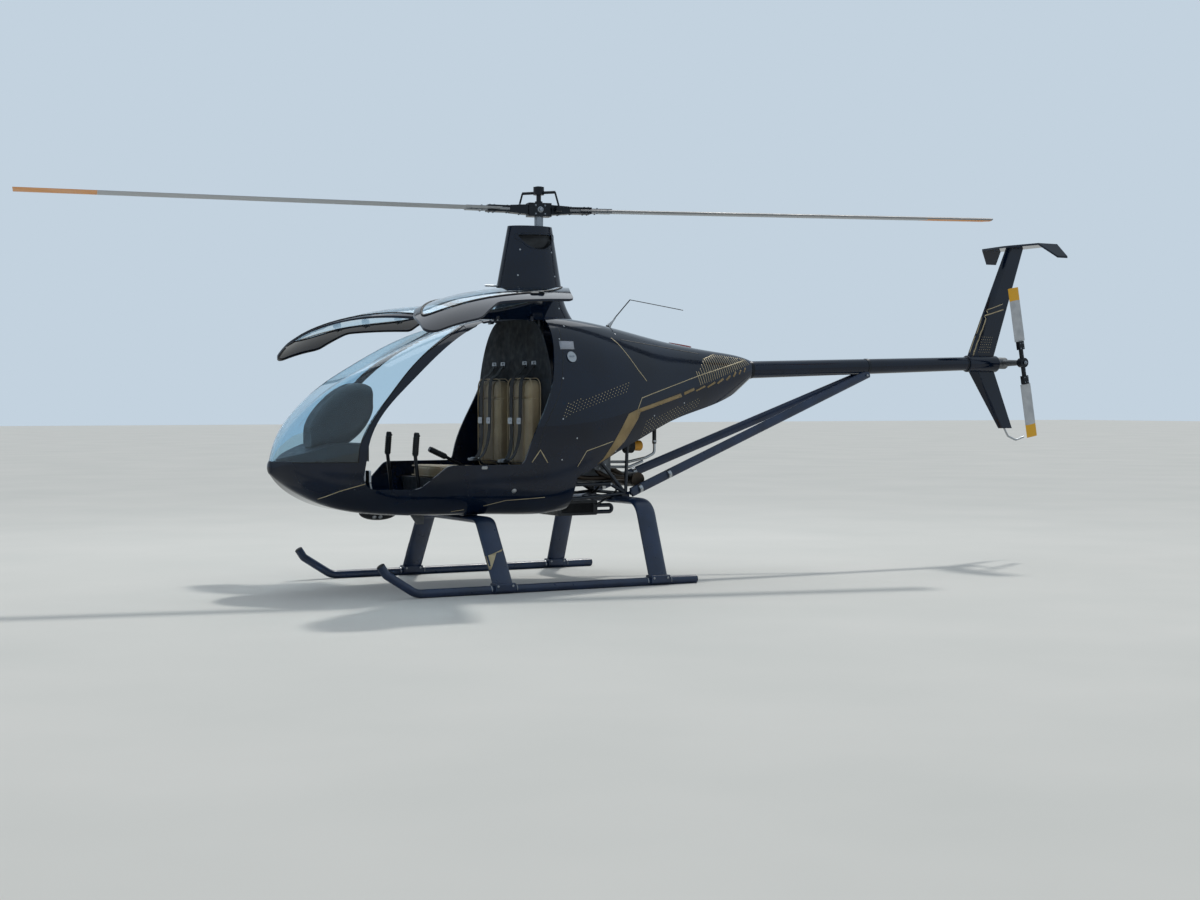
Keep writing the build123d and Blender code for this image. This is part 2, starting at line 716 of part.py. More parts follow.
with BuildPart() as filter_cap:
    with BuildSketch(Plane.YZ.offset(cap_x0)):
        with Locations((filter_y, filter_z)):
            Circle(31)
    extrude(amount=cap_x1 - cap_x0, taper=-3)
    fillet(edges().filter_by(GeomType.CIRCLE).sort_by(Axis.X)[-1], 14)
keep(filter_cap.part, "filter_cap")

# Two bright coolant pipes that run aft from the engine, the upper one turned up at its end
with BuildPart() as coolant_pipes:
    for route, bend_r in coolant_routes:
        with BuildLine() as path:
            FilletPolyline(*route, radius=bend_r)
        with BuildSketch(Plane(origin=path.line @ 0, z_dir=path.line % 0)):
            Circle(coolant_r)
        sweep()
    add(engine_block.part, mode=Mode.SUBTRACT)
keep(coolant_pipes.part, "coolant_pipes")

with BuildPart() as coolant_hose:
    x, y, z = coolant_routes[0][0][-1]
    rods([((x, y, z + seat_gap), (x, y, hose_top), hose_r)])
keep(coolant_hose.part, "coolant_hose")

# Boom braces from the rear bow to the boom's underside
brace_boom_x = 2560
with BuildPart() as boom_braces:
    for sign in (-1, 1):
        start = Vector(joints["bow"][0] + 22, sign * (frame_half + 35), joints["bow"][2] + 8)
        end = Vector(brace_boom_x, sign * 25, boom_z0 + boom_slope * (brace_boom_x - boom_x0) - 48)
        run = end - start
        with BuildSketch(Plane(origin=start, x_dir=(0, 1, 0), z_dir=run)):
            Ellipse(13, 30)
        extrude(amount=run.length)
        with BuildSketch(Plane(origin=start - run.normalized() * 10, z_dir=run)):
            Circle(14)
        extrude(amount=60)
        rods([(tuple(start), joint_at("bow", sign), 9)])
    add(boom_cone(boom_x0, boom_x1, seat_gap), mode=Mode.SUBTRACT)
    add(engine_frame.part, mode=Mode.SUBTRACT)
keep(boom_braces.part, "boom_braces")

# Sleeve at the boom's end that carries the fins and the tail gearbox
with BuildPart() as tail_sleeve:
    with BuildSketch(Plane.YZ.offset(boom_x1)):
        with Locations((0, boom_z1)):
            Circle(sleeve_r)
    extrude(amount=sleeve_x1 - boom_x1)
    fillet(edges().filter_by(GeomType.CIRCLE), 8)
    add(tail_boom.part, mode=Mode.SUBTRACT)
keep(tail_sleeve.part, "tail_sleeve")


def fin_solid(rows):
    """A tapered fin between two levels: z, leading edge x, trailing edge x."""
    with BuildPart() as fin:
        root_chord = rows[0][2] - rows[0][1]
        sections = [aerofoil(Plane.XY.offset(z), lead, trail, fin_thick * (trail - lead) / root_chord)
                    for z, lead, trail in rows]
        loft(sections)
        with BuildSketch(Plane.YZ.offset(boom_x1 - 100)):
            with Locations((0, boom_z1)):
                Circle(sleeve_r)
        extrude(amount=500, mode=Mode.SUBTRACT)
    return fin.part


keep(fin_solid(upper_fin), "upper_fin")
keep(fin_solid(lower_fin), "lower_fin")

# Stabiliser across the top of the fin, its ends bent down and out
stab_z = upper_fin[1][0]
with BuildPart() as stabilizer:
    with BuildSketch(Plane.XY.offset(stab_z)):
        with BuildLine():
            Polyline((stab_x0, -stab_half), (stab_x1, -stab_half), (stab_x1, stab_half),
                     (stab_x0, stab_half), (upper_fin[1][1] - 5, 22), (upper_fin[1][1] - 5, -22), close=True)
        make_face()
    extrude(amount=stab_thick)
    for sign in (-1, 1):
        root = Plane(origin=(0, sign * stab_half, stab_z), x_dir=(1, 0, 0), z_dir=(0, sign, 0))
        tip = Plane(origin=(0, sign * (stab_half + 80), stab_z - 92), x_dir=(1, 0, 0), z_dir=(0, sign, 0))
        for plane, x0, x1 in ((root, stab_x0, stab_x1), (tip, stab_x0 + 110, stab_x1 + 25)):
            with BuildSketch(plane):
                with Locations(((x0 + x1) / 2, -sign * stab_thick / 2)):
                    Rectangle(x1 - x0, stab_thick)
        loft()
keep(stabilizer.part, "stabilizer")

# Bent rod that guards the tail rotor from the ground
with BuildPart() as tail_guard:
    with BuildLine(Plane.XZ) as path:
        FilletPolyline((3815, lower_fin[1][0]), (3850, 868), (3925, 838), (4000, 860), radius=35)
    with BuildSketch(Plane(origin=path.line @ 0, z_dir=path.line % 0)):
        Circle(7)
    sweep()
    with BuildSketch(Plane.XY.offset(lower_fin[1][0])):
        with Locations((3825, 0)):
            Rectangle(200, 60)
    extrude(amount=60, mode=Mode.SUBTRACT)
keep(tail_guard.part, "tail_guard")

# Tail gearbox behind the sleeve, its output boss towards port
boss_end_y = tail_hub_y + 42
with BuildPart() as tail_gearbox:
    with BuildSketch(Plane.YZ.offset(sleeve_x1)):
        with Locations((0, tail_hub_z)):
            Circle(42)
    extrude(amount=tail_hub_x - sleeve_x1 + 45)
    fillet(edges().filter_by(GeomType.CIRCLE).sort_by(Axis.X)[-1], 15)
    with BuildSketch(Plane.XZ):
        with Locations((tail_hub_x, tail_hub_z)):
            Circle(26)
    extrude(amount=-boss_end_y, taper=2)
    with BuildSketch(Plane.XZ.offset(20)):
        with Locations((tail_hub_x, tail_hub_z)):
            Circle(tail_shaft_r + pin_run)
    extrude(amount=400, mode=Mode.SUBTRACT)
keep(tail_gearbox.part, "tail_gearbox")

# Tail rotor: shaft, hub block and grips in one, and two blades
tail_up = Vector(-sin(radians(tail_lean_deg)), 0, cos(radians(tail_lean_deg)))
tail_centre = Vector(tail_hub_x, tail_hub_y, tail_hub_z)
with BuildPart() as tail_rotor_hub:
    rods([((tail_hub_x, -60, tail_hub_z), (tail_hub_x, tail_hub_y - 30, tail_hub_z), tail_shaft_r),
          (tuple(tail_centre - tail_up * 150), tuple(tail_centre + tail_up * 150), 16)])
    with BuildSketch(Plane.XZ.offset(-tail_hub_y - 24)):
        with Locations((tail_hub_x, tail_hub_z)):
            Circle(34)
    extrude(amount=48)
    for sign in (-1, 1):
        foot = tail_centre + tail_up * (sign * 95)
        with BuildSketch(Plane(origin=foot, x_dir=(1, 0, 0), z_dir=tail_up * sign)):
            Rectangle(46, 34)
        extrude(amount=60)
keep(tail_rotor_hub.part, "tail_rotor_hub")

with BuildPart() as tail_rotor_blades:
    for sign in (-1, 1):
        root = Plane(origin=tail_centre + tail_up * (sign * 155), x_dir=(0, 1, 0), z_dir=tail_up * sign)
        with BuildSketch(root):
            Ellipse(tail_thick / 2, tail_chord / 2)
        extrude(amount=tail_radius - 155)
keep(tail_rotor_blades.part, "tail_rotor_blades")

# Main rotor: mast, teetering hub, grips, blades and the pitch spider on top
with BuildPart() as rotor_mast:
    rods([((0, 0, gearbox_z0 + 90), (0, 0, blade_z - hub_half_high), mast_r)])
keep(rotor_mast.part, "rotor_mast")

azimuth = radians(rotor_azimuth)
rotor_out = Vector(cos(azimuth), sin(azimuth), 0)
rotor_side = Vector(-sin(azimuth), cos(azimuth), 0)
hub_plane = Plane(origin=(0, 0, blade_z - hub_half_high), x_dir=rotor_out, z_dir=(0, 0, 1))
with BuildPart() as rotor_hub:
    with BuildSketch(hub_plane):
        RectangleRounded(2 * hub_half_long, 2 * hub_half_wide, 12)
    extrude(amount=2 * hub_half_high)
    with BuildSketch(hub_plane.offset(2 * hub_half_high)):
        Circle(24)
    extrude(amount=12)
keep(rotor_hub.part, "rotor_hub")


def blade_frame(sign, reach):
    """A plane across a blade, out along it by the reach, its x along the chord."""
    rise = sin(radians(precone_deg))
    along = (rotor_out * sign * cos(radians(precone_deg)) + Vector(0, 0, rise)).normalized()
    centre = Vector(0, 0, blade_z) + along * reach
    return Plane(origin=centre, x_dir=rotor_side * sign, z_dir=along)


with BuildPart() as blade_grips:
    for sign in (-1, 1):
        with BuildSketch(blade_frame(sign, hub_half_long + 1)):
            Rectangle(70, 62)
        with BuildSketch(blade_frame(sign, 190)):
            Rectangle(80, 46)
        loft()
        for level in (-1, 1):
            with BuildSketch(blade_frame(sign, 185)):
                with Locations((0, level * (blade_thick / 2 + 5 + seat_gap))):
                    Rectangle(84, 9)
            extrude(amount=grip_end_r - 185)
        with BuildSketch(blade_frame(sign, 90)):
            with Locations((-62, 0)):
                Rectangle(70, 26)
        extrude(amount=40)
keep(blade_grips.part, "blade_grips")

with BuildPart() as main_rotor_blades:
    for sign in (-1, 1):
        nose = -0.3 * blade_chord
        section = aerofoil(blade_frame(sign, blade_root_r), nose, nose + blade_chord, blade_thick)
        extrude(section, amount=rotor_radius - blade_root_r)
        for level in (-1, 1):
            with BuildSketch(blade_frame(sign, grip_end_r + seat_gap)):
                with Locations((0, level * (blade_thick / 2 + 1))):
                    Rectangle(70, 5)
            extrude(amount=doubler_r - grip_end_r)
keep(main_rotor_blades.part, "main_rotor_blades")

# The spider: a post through the hollow mast, its crossbar and two links to the pitch horns
with BuildPart() as pitch_spider:
    rods([((0, 0, blade_z + hub_half_high + 12), (0, 0, cap_z0), 15),
          ((0, 0, cap_z0), (0, 0, cap_z1), 34)])
    for sign in (-1, 1):
        horn = blade_frame(sign, 110).origin - rotor_side * (sign * 84)
        top = Vector(horn.X * 0.8, horn.Y * 0.8, cap_z0 + 14)
        rods([((0, 0, cap_z0 + 14), tuple(top), 9),
              (tuple(top), (horn.X, horn.Y, horn.Z + 13), 6)])
    add(blade_grips.part, mode=Mode.SUBTRACT)
keep(pitch_spider.part, "pitch_spider")

# Small things on the skin
with BuildPart() as belly_lamp:
    with BuildSketch(Plane.XZ):
        with Locations((-1085, 452)):
            Ellipse(122, 46)
            Rectangle(260, 60, align=(Align.CENTER, Align.MIN), mode=Mode.SUBTRACT)
    revolve(axis=Axis((0, 0, 452), (1, 0, 0)))
    add(outer_form, mode=Mode.SUBTRACT)
keep(belly_lamp.part, "belly_lamp")

with BuildPart() as belly_antenna:
    with BuildSketch(Plane.XZ):
        with BuildLine():
            Polyline((-905, 470), (-785, 470), (-790, 372), (-835, 372), close=True)
        make_face()
    extrude(amount=5, both=True)
    add(outer_form, mode=Mode.SUBTRACT)
keep(belly_antenna.part, "belly_antenna")

with BuildPart() as whip_antenna:
    rods([((470, -50, 1560), (470, -50, 1604), 14),
          ((470, -50, 1600), (632, -50, 1772), 3.5),
          ((632, -50, 1772), (1024, -50, 1716), 2.5)])
    add(outer_form, mode=Mode.SUBTRACT)
keep(whip_antenna.part, "whip_antenna")

with BuildPart() as fuel_cap:
    with BuildSketch(Plane.XZ):
        with Locations((-10, 1390)):
            Circle(32)
    extrude(amount=hull_reach)
    add(hull_solid(-7), mode=Mode.INTERSECT)
    add(outer_form, mode=Mode.SUBTRACT)
keep(fuel_cap.part, "fuel_cap")

with BuildPart() as spine_beacon:
    with BuildSketch(Plane.XY.offset(1300)):
        with Locations((1040, 0)):
            Ellipse(85, 22)
    extrude(amount=500)
    add(hull_solid(-14), mode=Mode.INTERSECT)
    add(outer_form, mode=Mode.SUBTRACT)
keep(spine_beacon.part, "spine_beacon")
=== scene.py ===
import math

import bmesh
import bpy
from mathutils import Matrix, Vector
from mathutils.bvhtree import BVHTree
from mathutils.geometry import delaunay_2d_cdt


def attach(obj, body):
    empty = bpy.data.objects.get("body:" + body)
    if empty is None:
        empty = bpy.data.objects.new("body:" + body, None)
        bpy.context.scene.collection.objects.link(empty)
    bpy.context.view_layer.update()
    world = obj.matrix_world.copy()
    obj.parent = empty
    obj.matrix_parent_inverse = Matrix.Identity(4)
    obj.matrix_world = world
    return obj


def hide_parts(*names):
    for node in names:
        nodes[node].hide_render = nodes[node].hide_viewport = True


# A light two-seat helicopter, parked on its skids with both roof-hinged doors raised.
# Metres. Nose towards -X, starboard towards +Y, +Z up.
# Places on the skin are given as seen from the side, (x, z).
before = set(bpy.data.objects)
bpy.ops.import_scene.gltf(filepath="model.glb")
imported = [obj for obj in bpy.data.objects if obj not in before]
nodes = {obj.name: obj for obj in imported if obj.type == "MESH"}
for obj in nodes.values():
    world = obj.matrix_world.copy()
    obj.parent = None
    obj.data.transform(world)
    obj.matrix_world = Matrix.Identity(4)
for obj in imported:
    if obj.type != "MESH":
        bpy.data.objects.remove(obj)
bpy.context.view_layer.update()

# Camera, at the photograph's viewing angle
EYE = (-5.22, -10.21, 1.11)
EYE_YAW = math.radians(29.0)
EYE_DIP = math.radians(1.48)
LENS_MM = 54.66

# Doors, as in the solids: the hinge line and how far each is raised
HINGE_Y, HINGE_Z = 0.262, 1.618
RAISED = {-1: math.radians(78), 1: math.radians(72)}
DOOR_BODY = {-1: "left_door", 1: "right_door"}
LABEL = {-1: "left", 1: "right"}

# Rotor heads
BLADE_Z = 2.318
ROTOR_TURN = math.radians(167.3)
TAIL_HUB = Vector((3.78, -0.23, 1.399))
TAIL_LEAN = math.radians(10)

SIDES = (-1, 1)


# Finishes
def srgb(code):
    """A hex colour as linear numbers."""
    parts = [int(code[i:i + 2], 16) / 255 for i in (1, 3, 5)]
    return tuple(p / 12.92 if p <= 0.04045 else ((p + 0.055) / 1.055) ** 2.4 for p in parts) + (1.0,)


def add_node(tree, kind, inputs=None, **settings):
    """One shader node, with its settings and what feeds each socket."""
    made = tree.nodes.new("ShaderNode" + kind)
    for key, value in settings.items():
        setattr(made, key, value)
    for socket, value in (inputs or {}).items():
        if isinstance(value, bpy.types.NodeSocket):
            tree.links.new(value, made.inputs[socket])
        else:
            made.inputs[socket].default_value = value
    return made


def finish(name, rough, metallic=0.0, ior=1.5, **sockets):
    """A new material with its Principled shader and the object's own coordinates in metres."""
    material = bpy.data.materials.new(name)
    material.use_nodes = True
    tree = material.node_tree
    tree.nodes.clear()
    values = {"Roughness": rough, "Metallic": metallic, "IOR": ior, **sockets}
    shader = add_node(tree, "BsdfPrincipled", values)
    output = add_node(tree, "OutputMaterial", {"Surface": shader.outputs[0]})
    output.target = "ALL"
    place = add_node(tree, "TexCoord").outputs["Object"]
    return material, tree, shader, place


def mottle(tree, place, size_m, detail=2.0, stretch=(1, 1, 1)):
    """Soft random patches of about the given size, drawn out along the axes where stretch is small."""
    scaled = add_node(tree, "Mapping", {"Vector": place, "Scale": stretch})
    values = {"Vector": scaled.outputs[0], "Scale": 1 / size_m, "Detail": detail}
    return add_node(tree, "TexNoise", values).outputs[0]


# Noise values hardly ever leave this range
NOISE_RANGE = {"From Min": 0.3, "From Max": 0.7}


def two_tone(tree, value, dark, light, most=1.0):
    """A colour that wanders from one hex colour towards another as a noise value does."""
    amount = add_node(tree, "MapRange", {"Value": value, **NOISE_RANGE, "To Max": most}).outputs[0]
    return add_node(tree, "Mix", {0: amount, 6: srgb(dark), 7: srgb(light)}, data_type="RGBA").outputs[2]


def show(tree, shader, height, depth_m, colour=None, gloss=None):
    """Feeds the shader a relief of the given depth, a colour, and a gloss: (noise value, least, most)."""
    bump = add_node(tree, "Bump", {"Height": height, "Distance": depth_m})
    tree.links.new(bump.outputs[0], shader.inputs["Normal"])
    if colour is not None:
        tree.links.new(colour, shader.inputs["Base Color"])
    if gloss:
        value, least, most = gloss
        rough = add_node(tree, "MapRange", {"Value": value, **NOISE_RANGE, "To Min": least, "To Max": most})
        tree.links.new(rough.outputs[0], shader.inputs["Roughness"])


def plain_finish(name, dark, light, rough, grain_m, depth_m, metallic=0.0, wear_m=0.12):
    """A finish of two near colours in soft patches, with a fine grain and uneven gloss."""
    material, tree, shader, place = finish(name, rough, metallic)
    colour = two_tone(tree, mottle(tree, place, wear_m, 4), dark, light)
    gloss = (mottle(tree, place, wear_m / 3, 3), 0.82 * rough, 1.18 * rough)
    show(tree, shader, mottle(tree, place, grain_m, 2), depth_m, colour, gloss)
    return material


def make_gloss_paint():
    """Navy two-pack paint over moulded laminate: deep gloss, faintly wavy, an orange peel of about 8 mm."""
    material, tree, shader, place = finish("gloss_navy_paint", 0.1, ior=1.4)
    dust = mottle(tree, place, 0.35, 5)
    peel = mottle(tree, place, 0.008, 1)
    waves = mottle(tree, place, 0.22, 1)
    height = add_node(tree, "Math", {0: waves, 1: 22.0, 2: peel}, operation="MULTIPLY_ADD").outputs[0]
    show(tree, shader, height, 0.00004, two_tone(tree, dust, "#06101f", "#0a1a30"), (dust, 0.06, 0.14))
    return material


def make_acrylic():
    """Blown tinted acrylic sheet: clear, light blue, glossy, with a slight draw in it."""
    material, tree, shader, place = finish("tinted_acrylic", 0.02, ior=1.2)
    shader.inputs["Base Color"].default_value = srgb("#cfe6f2")
    shader.inputs["Transmission Weight"].default_value = 1.0
    shader.inputs["Coat Weight"].default_value = 0.6
    show(tree, shader, mottle(tree, place, 0.18, 1), 0.0006)
    return material


def make_blade_paint():
    """Light grey satin paint on bonded blades: orange-yellow tips, a bare metal strip along the nose."""
    material, tree, shader, place = finish("blade_paint", 0.38)
    turned = add_node(tree, "Mapping", {"Vector": place, "Rotation": (0, 0, -ROTOR_TURN)}).outputs[0]
    axes = add_node(tree, "SeparateXYZ", {"Vector": turned}).outputs
    reach = add_node(tree, "Math", {0: axes[0]}, operation="ABSOLUTE").outputs[0]
    which = add_node(tree, "Math", {0: axes[0]}, operation="SIGN").outputs[0]
    chord = add_node(tree, "Math", {0: axes[1], 1: which}, operation="MULTIPLY").outputs[0]
    tip = add_node(tree, "Math", {0: reach, 1: 2.67}, operation="GREATER_THAN").outputs[0]
    nose = add_node(tree, "Math", {0: chord, 1: -0.037}, operation="LESS_THAN").outputs[0]
    grime = mottle(tree, place, 0.09, 4, (0.3, 1, 1))
    grey = two_tone(tree, grime, "#8f959b", "#a9aeb3")
    painted = add_node(tree, "Mix", {0: tip, 6: grey, 7: srgb("#d98a1e")}, data_type="RGBA").outputs[2]
    colour = add_node(tree, "Mix", {0: nose, 6: painted, 7: srgb("#83878b")}, data_type="RGBA").outputs[2]
    show(tree, shader, mottle(tree, place, 0.012, 2), 0.00006, colour, (grime, 0.3, 0.46))
    return material


def make_tail_blade_paint():
    """Pale satin paint with yellow tips on the tail rotor's blades."""
    material, tree, shader, place = finish("tail_blade_paint", 0.36)
    apart = add_node(tree, "VectorMath", {0: place, 1: tuple(TAIL_HUB)}, operation="DISTANCE")
    from_hub = apart.outputs["Value"]
    tip = add_node(tree, "Math", {0: from_hub, 1: 0.45}, operation="GREATER_THAN").outputs[0]
    grime = mottle(tree, place, 0.05, 4)
    grey = two_tone(tree, grime, "#a3a9ae", "#bcc1c5")
    colour = add_node(tree, "Mix", {0: tip, 6: grey, 7: srgb("#e0a91b")}, data_type="RGBA").outputs[2]
    show(tree, shader, mottle(tree, place, 0.01, 2), 0.00006, colour, (grime, 0.28, 0.44))
    return material


def make_brushed(name, dark, light, rough, along):
    """Metal brushed one way: short streaks across the light, drawn coarse enough to show."""
    material, tree, shader, place = finish(name, rough, 1.0)
    streaks = mottle(tree, place, 0.004, 3, along)
    show(tree, shader, streaks, 0.00008, two_tone(tree, streaks, dark, light),
         (streaks, rough - 0.08, rough + 0.08))
    return material


def make_leatherette():
    """Beige upholstery leatherette: a pebbled grain drawn at 3 mm to show, darker where rubbed."""
    material, tree, shader, place = finish("beige_leatherette", 0.55)
    shader.inputs["Sheen Weight"].default_value = 0.15
    rubbed = mottle(tree, place, 0.16, 4)
    pebbles = add_node(tree, "TexVoronoi", {"Vector": place, "Scale": 1 / 0.0032},
                       feature="DISTANCE_TO_EDGE").outputs["Distance"]
    show(tree, shader, pebbles, 0.0004, two_tone(tree, rubbed, "#8d7d64", "#a99878"), (rubbed, 0.46, 0.62))
    return material


def make_webbing():
    """Black polyester webbing: its ribbed weave is drawn about 6 mm apart, coarse enough to show."""
    material, tree, shader, place = finish("belt_webbing", 0.7)
    ribs = add_node(tree, "TexWave", {"Vector": place, "Scale": 63.492063, "Distortion": 0.6},
                    bands_direction="DIAGONAL").outputs["Fac"]
    inks = {0: ribs, 6: srgb("#0e0f11"), 7: srgb("#191b1f")}
    show(tree, shader, ribs, 0.0004, add_node(tree, "Mix", inks, data_type="RGBA").outputs[2])
    return material


def make_lens(name, code, see_through):
    """A moulded lamp lens: clear plastic with flutes about 8 mm apart inside."""
    material, tree, shader, place = finish(name, 0.08, ior=1.49)
    tint = two_tone(tree, mottle(tree, place, 0.02), code, "#ffffff", 0.3)
    shader.inputs["Transmission Weight"].default_value = see_through
    flutes = add_node(tree, "TexWave", {"Vector": place, "Scale": 39.68254}).outputs["Fac"]
    show(tree, shader, flutes, 0.0005, tint)
    return material


navy = make_gloss_paint()
acrylic = make_acrylic()
blade_paint = make_blade_paint()
tail_paint = make_tail_blade_paint()
leatherette = make_leatherette()
webbing = make_webbing()
red_lens = make_lens("red_beacon_lens", "#c01a12", 0.35)
clear_lens = make_lens("clear_lamp_lens", "#e8ecf0", 0.5)
# Bare metals: brushed lines that catch the light, and dull, grainy castings
alloy = make_brushed("brushed_alloy", "#8e9296", "#b4b7ba", 0.34, (1, 12, 12))
steel = make_brushed("ground_steel", "#6f757c", "#9aa0a6", 0.3, (12, 12, 1))
casting = plain_finish("sand_cast_alloy", "#5d6063", "#77797b", 0.55, 0.0035, 0.0004, metallic=0.9)
# Cut film in pale golds, smooth, with a little of a metal's shine; the pale line also draws a painted
# highlight along a shoulder crease of the cowling
champagne = plain_finish("champagne_gold_film", "#7d6a45", "#9c8760", 0.42, 0.004, 0.00002, metallic=0.35)
pale_line = plain_finish("pale_gold_line", "#a89b7c", "#c3b794", 0.4, 0.004, 0.00002, metallic=0.2)
# Coats: powder coat and enamel with a fine peel, anodising with a dark sheen
blue_coat = plain_finish("slate_blue_powder_coat", "#15253d", "#1d3150", 0.33, 0.0025, 0.00012)
frame_enamel = plain_finish("dark_frame_enamel", "#0d1520", "#182230", 0.36, 0.003, 0.0001)
satin_black = plain_finish("black_anodised_alloy", "#0e1218", "#1d232b", 0.34, 0.003, 0.00008, metallic=0.5)
# Moulded plastic, rubbers and foam: soft lights and a fine grain
black_abs = plain_finish("moulded_black_plastic", "#0c0e11", "#181b1f", 0.5, 0.0018, 0.00006)
rubber = plain_finish("black_rubber", "#0b0c0d", "#17191b", 0.62, 0.002, 0.0002)
hose_rubber = plain_finish("braided_hose", "#0f1113", "#22262a", 0.55, 0.0022, 0.0005)
yellow_foam = plain_finish("yellow_filter_moulding", "#b07718", "#cf9425", 0.5, 0.0035, 0.0006)
# Exhaust steel, browned in blotches by heat
heat_steel = plain_finish("heat_stained_steel", "#2a2622", "#463c33", 0.45, 0.004, 0.0003, metallic=0.8)
# Woven lining that gives back almost no light
carpet = plain_finish("cabin_lining", "#0d1319", "#1a222b", 0.85, 0.0022, 0.0008)
# Printed plates and dials, flat, and a display that shines like glass
blank_film = plain_finish("pale_blank_plate", "#8f96a3", "#a6adb8", 0.45, 0.003, 0.00003)
dial_face = plain_finish("matt_dial_face", "#08090b", "#101216", 0.6, 0.002, 0.00005)
dial_mark = plain_finish("white_dial_marks", "#c9ccd0", "#e2e4e6", 0.5, 0.002, 0.00002)
screen_glass = plain_finish("dark_display_glass", "#0a1016", "#101a24", 0.06, 0.01, 0.00001)

worn_by = {
    navy: "lower_hull rear_cowling mast_fairing cabin_frame left_door_shell right_door_shell tail_boom "
          "tail_sleeve upper_fin lower_fin stabilizer",
    acrylic: "windshield left_door_glass right_door_glass",
    blue_coat: "front_gear_bow rear_gear_bow boom_braces skid_left skid_right",
    alloy: "door_hinges pedals coolant_pipes tail_guard fuel_cap pitot_tube",
    carpet: "cabin_bulkhead seat_pan",
    casting: "engine_block main_gearbox tail_gearbox belly_antenna",
    satin_black: "flight_controls tail_rotor_hub rotor_hub blade_grips pitch_spider",
    black_abs: "instrument_pod radiator_case belly_lamp seat_cushions back_cushions",
    frame_enamel: "engine_frame radiator_loops", heat_steel: "exhaust_muffler", steel: "rotor_mast",
    rubber: "air_filter whip_antenna", hose_rubber: "coolant_hose", yellow_foam: "filter_cap",
    tail_paint: "tail_rotor_blades", blade_paint: "main_rotor_blades", red_lens: "spine_beacon",
}
for worn, names in worn_by.items():
    for name in names.split():
        nodes[name].data.materials.clear()
        nodes[name].data.materials.append(worn)


# Making shapes
def circle(centre, side, up, radius, count, flat=1.0):
    """Points round a centre, from its side way towards its up way; flat squeezes it along up."""
    return [centre + (side * math.cos(t) + up * (flat * math.sin(t))) * radius
            for t in [math.tau * k / count for k in range(count)]]


def new_object(name, data):
    """A scene object that holds a mesh, a lamp or a camera."""
    made = bpy.data.objects.new(name, data)
    bpy.context.scene.collection.objects.link(made)
    return made


class Batch:
    """Forms that are joined into one piece."""

    def __init__(self):
        self.verts = []
        self.faces = []

    def add(self, verts, faces):
        """Adds a form: its points, and its faces by the points' numbers."""
        start = len(self.verts)
        self.verts += [Vector(v) for v in verts]
        self.faces += [tuple(start + i for i in face) for face in faces]

    def cover(self, rings, closed=False):
        """A skin over rings of points, capped at both ends unless it closes on itself."""
        count, sides = len(rings), len(rings[0])
        faces = []
        for i in range(count if closed else count - 1):
            j = (i + 1) % count
            for k in range(sides):
                m = (k + 1) % sides
                faces.append((i * sides + k, i * sides + m, j * sides + m, j * sides + k))
        if not closed:
            faces += [tuple(reversed(range(sides))), tuple((count - 1) * sides + k for k in range(sides))]
        self.add([v for ring in rings for v in ring], faces)

    def tube(self, points, radius, sides=12, closed=False, flat=1.0):
        """A round bar along points; flat squeezes it across the side that faces up."""
        points = [Vector(p) for p in points]
        count = len(points)
        rings, side = [], None
        for i, point in enumerate(points):
            before = points[i - 1] if i or closed else points[i]
            after = points[(i + 1) % count] if i < count - 1 or closed else points[i]
            run = (after - before).normalized()
            if side is None:
                side = run.cross(Vector((0, 0, 1)))
                if side.length < 0.05:
                    side = run.cross(Vector((0, 1, 0)))
            side = (side - run * side.dot(run)).normalized()
            rings.append(circle(point, side, run.cross(side), radius, sides, flat))
        self.cover(rings, closed)

    def turned(self, base, axis, profile, sides=24):
        """A turned form: profile is (distance along the axis, radius), closed at both ends."""
        base, axis = Vector(base), Vector(axis).normalized()
        side = axis.orthogonal().normalized()
        self.cover([circle(base + axis * along, side, axis.cross(side), radius, sides)
                    for along, radius in profile])

    def bolt(self, base, axis, size=0.006):
        """A hexagon head on its washer."""
        self.turned(base, axis, [(-0.001, size * 1.25), (size * 0.3, size * 1.25)], 16)
        self.turned(base, axis, [(size * 0.25, size), (size * 0.95, size), (size * 1.1, size * 0.8)], 6)

    def slab(self, outline, thick, place):
        """A flat plate: outline in its own x and y, thickness along its own z, set by the matrix."""
        count = len(outline)
        low = [place @ Vector((x, y, -thick / 2)) for x, y in outline]
        high = [place @ Vector((x, y, thick / 2)) for x, y in outline]
        faces = [tuple(reversed(range(count))), tuple(range(count, 2 * count))]
        around = [(i, (i + 1) % count) for i in range(count)]
        faces += [(i, k, count + k, count + i) for i, k in around]
        self.add(low + high, faces)

    def plate(self, width, height, radius, thick, place, steps=4):
        """A round-cornered flat plate."""
        self.slab(rounded_outline(width, height, radius, steps), thick, place)

    def form(self, name):
        """The joined forms as one object, not yet dressed."""
        mesh = bpy.data.meshes.new(name)
        mesh.from_pydata([tuple(v) for v in self.verts], [], self.faces)
        return new_object(name, mesh)

    def make(self, name, material, slot, body="airframe", bevel=0.0, angle=35):
        """Turns the joined forms into a dressed piece."""
        return dress(self.form(name), material, body, bevel, angle)


def dress(piece, material, body="airframe", bevel=0.0, angle=35):
    """Gives a piece its finish, smooth shading, softened edges and the body that it rides on."""
    mesh = piece.data
    mesh.validate()
    tidy = bmesh.new()
    tidy.from_mesh(mesh)
    bmesh.ops.recalc_face_normals(tidy, faces=tidy.faces)
    tidy.to_mesh(mesh)
    tidy.free()
    mesh.materials.clear()
    mesh.materials.append(material)
    for face in mesh.polygons:
        face.use_smooth = True
    mesh.set_sharp_from_angle(angle=math.radians(angle))
    if bevel:
        soften = piece.modifiers.new("soft_edges", "BEVEL")
        soften.width = bevel
        soften.segments = 2
        soften.limit_method = "ANGLE"
    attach(piece, body)
    return piece


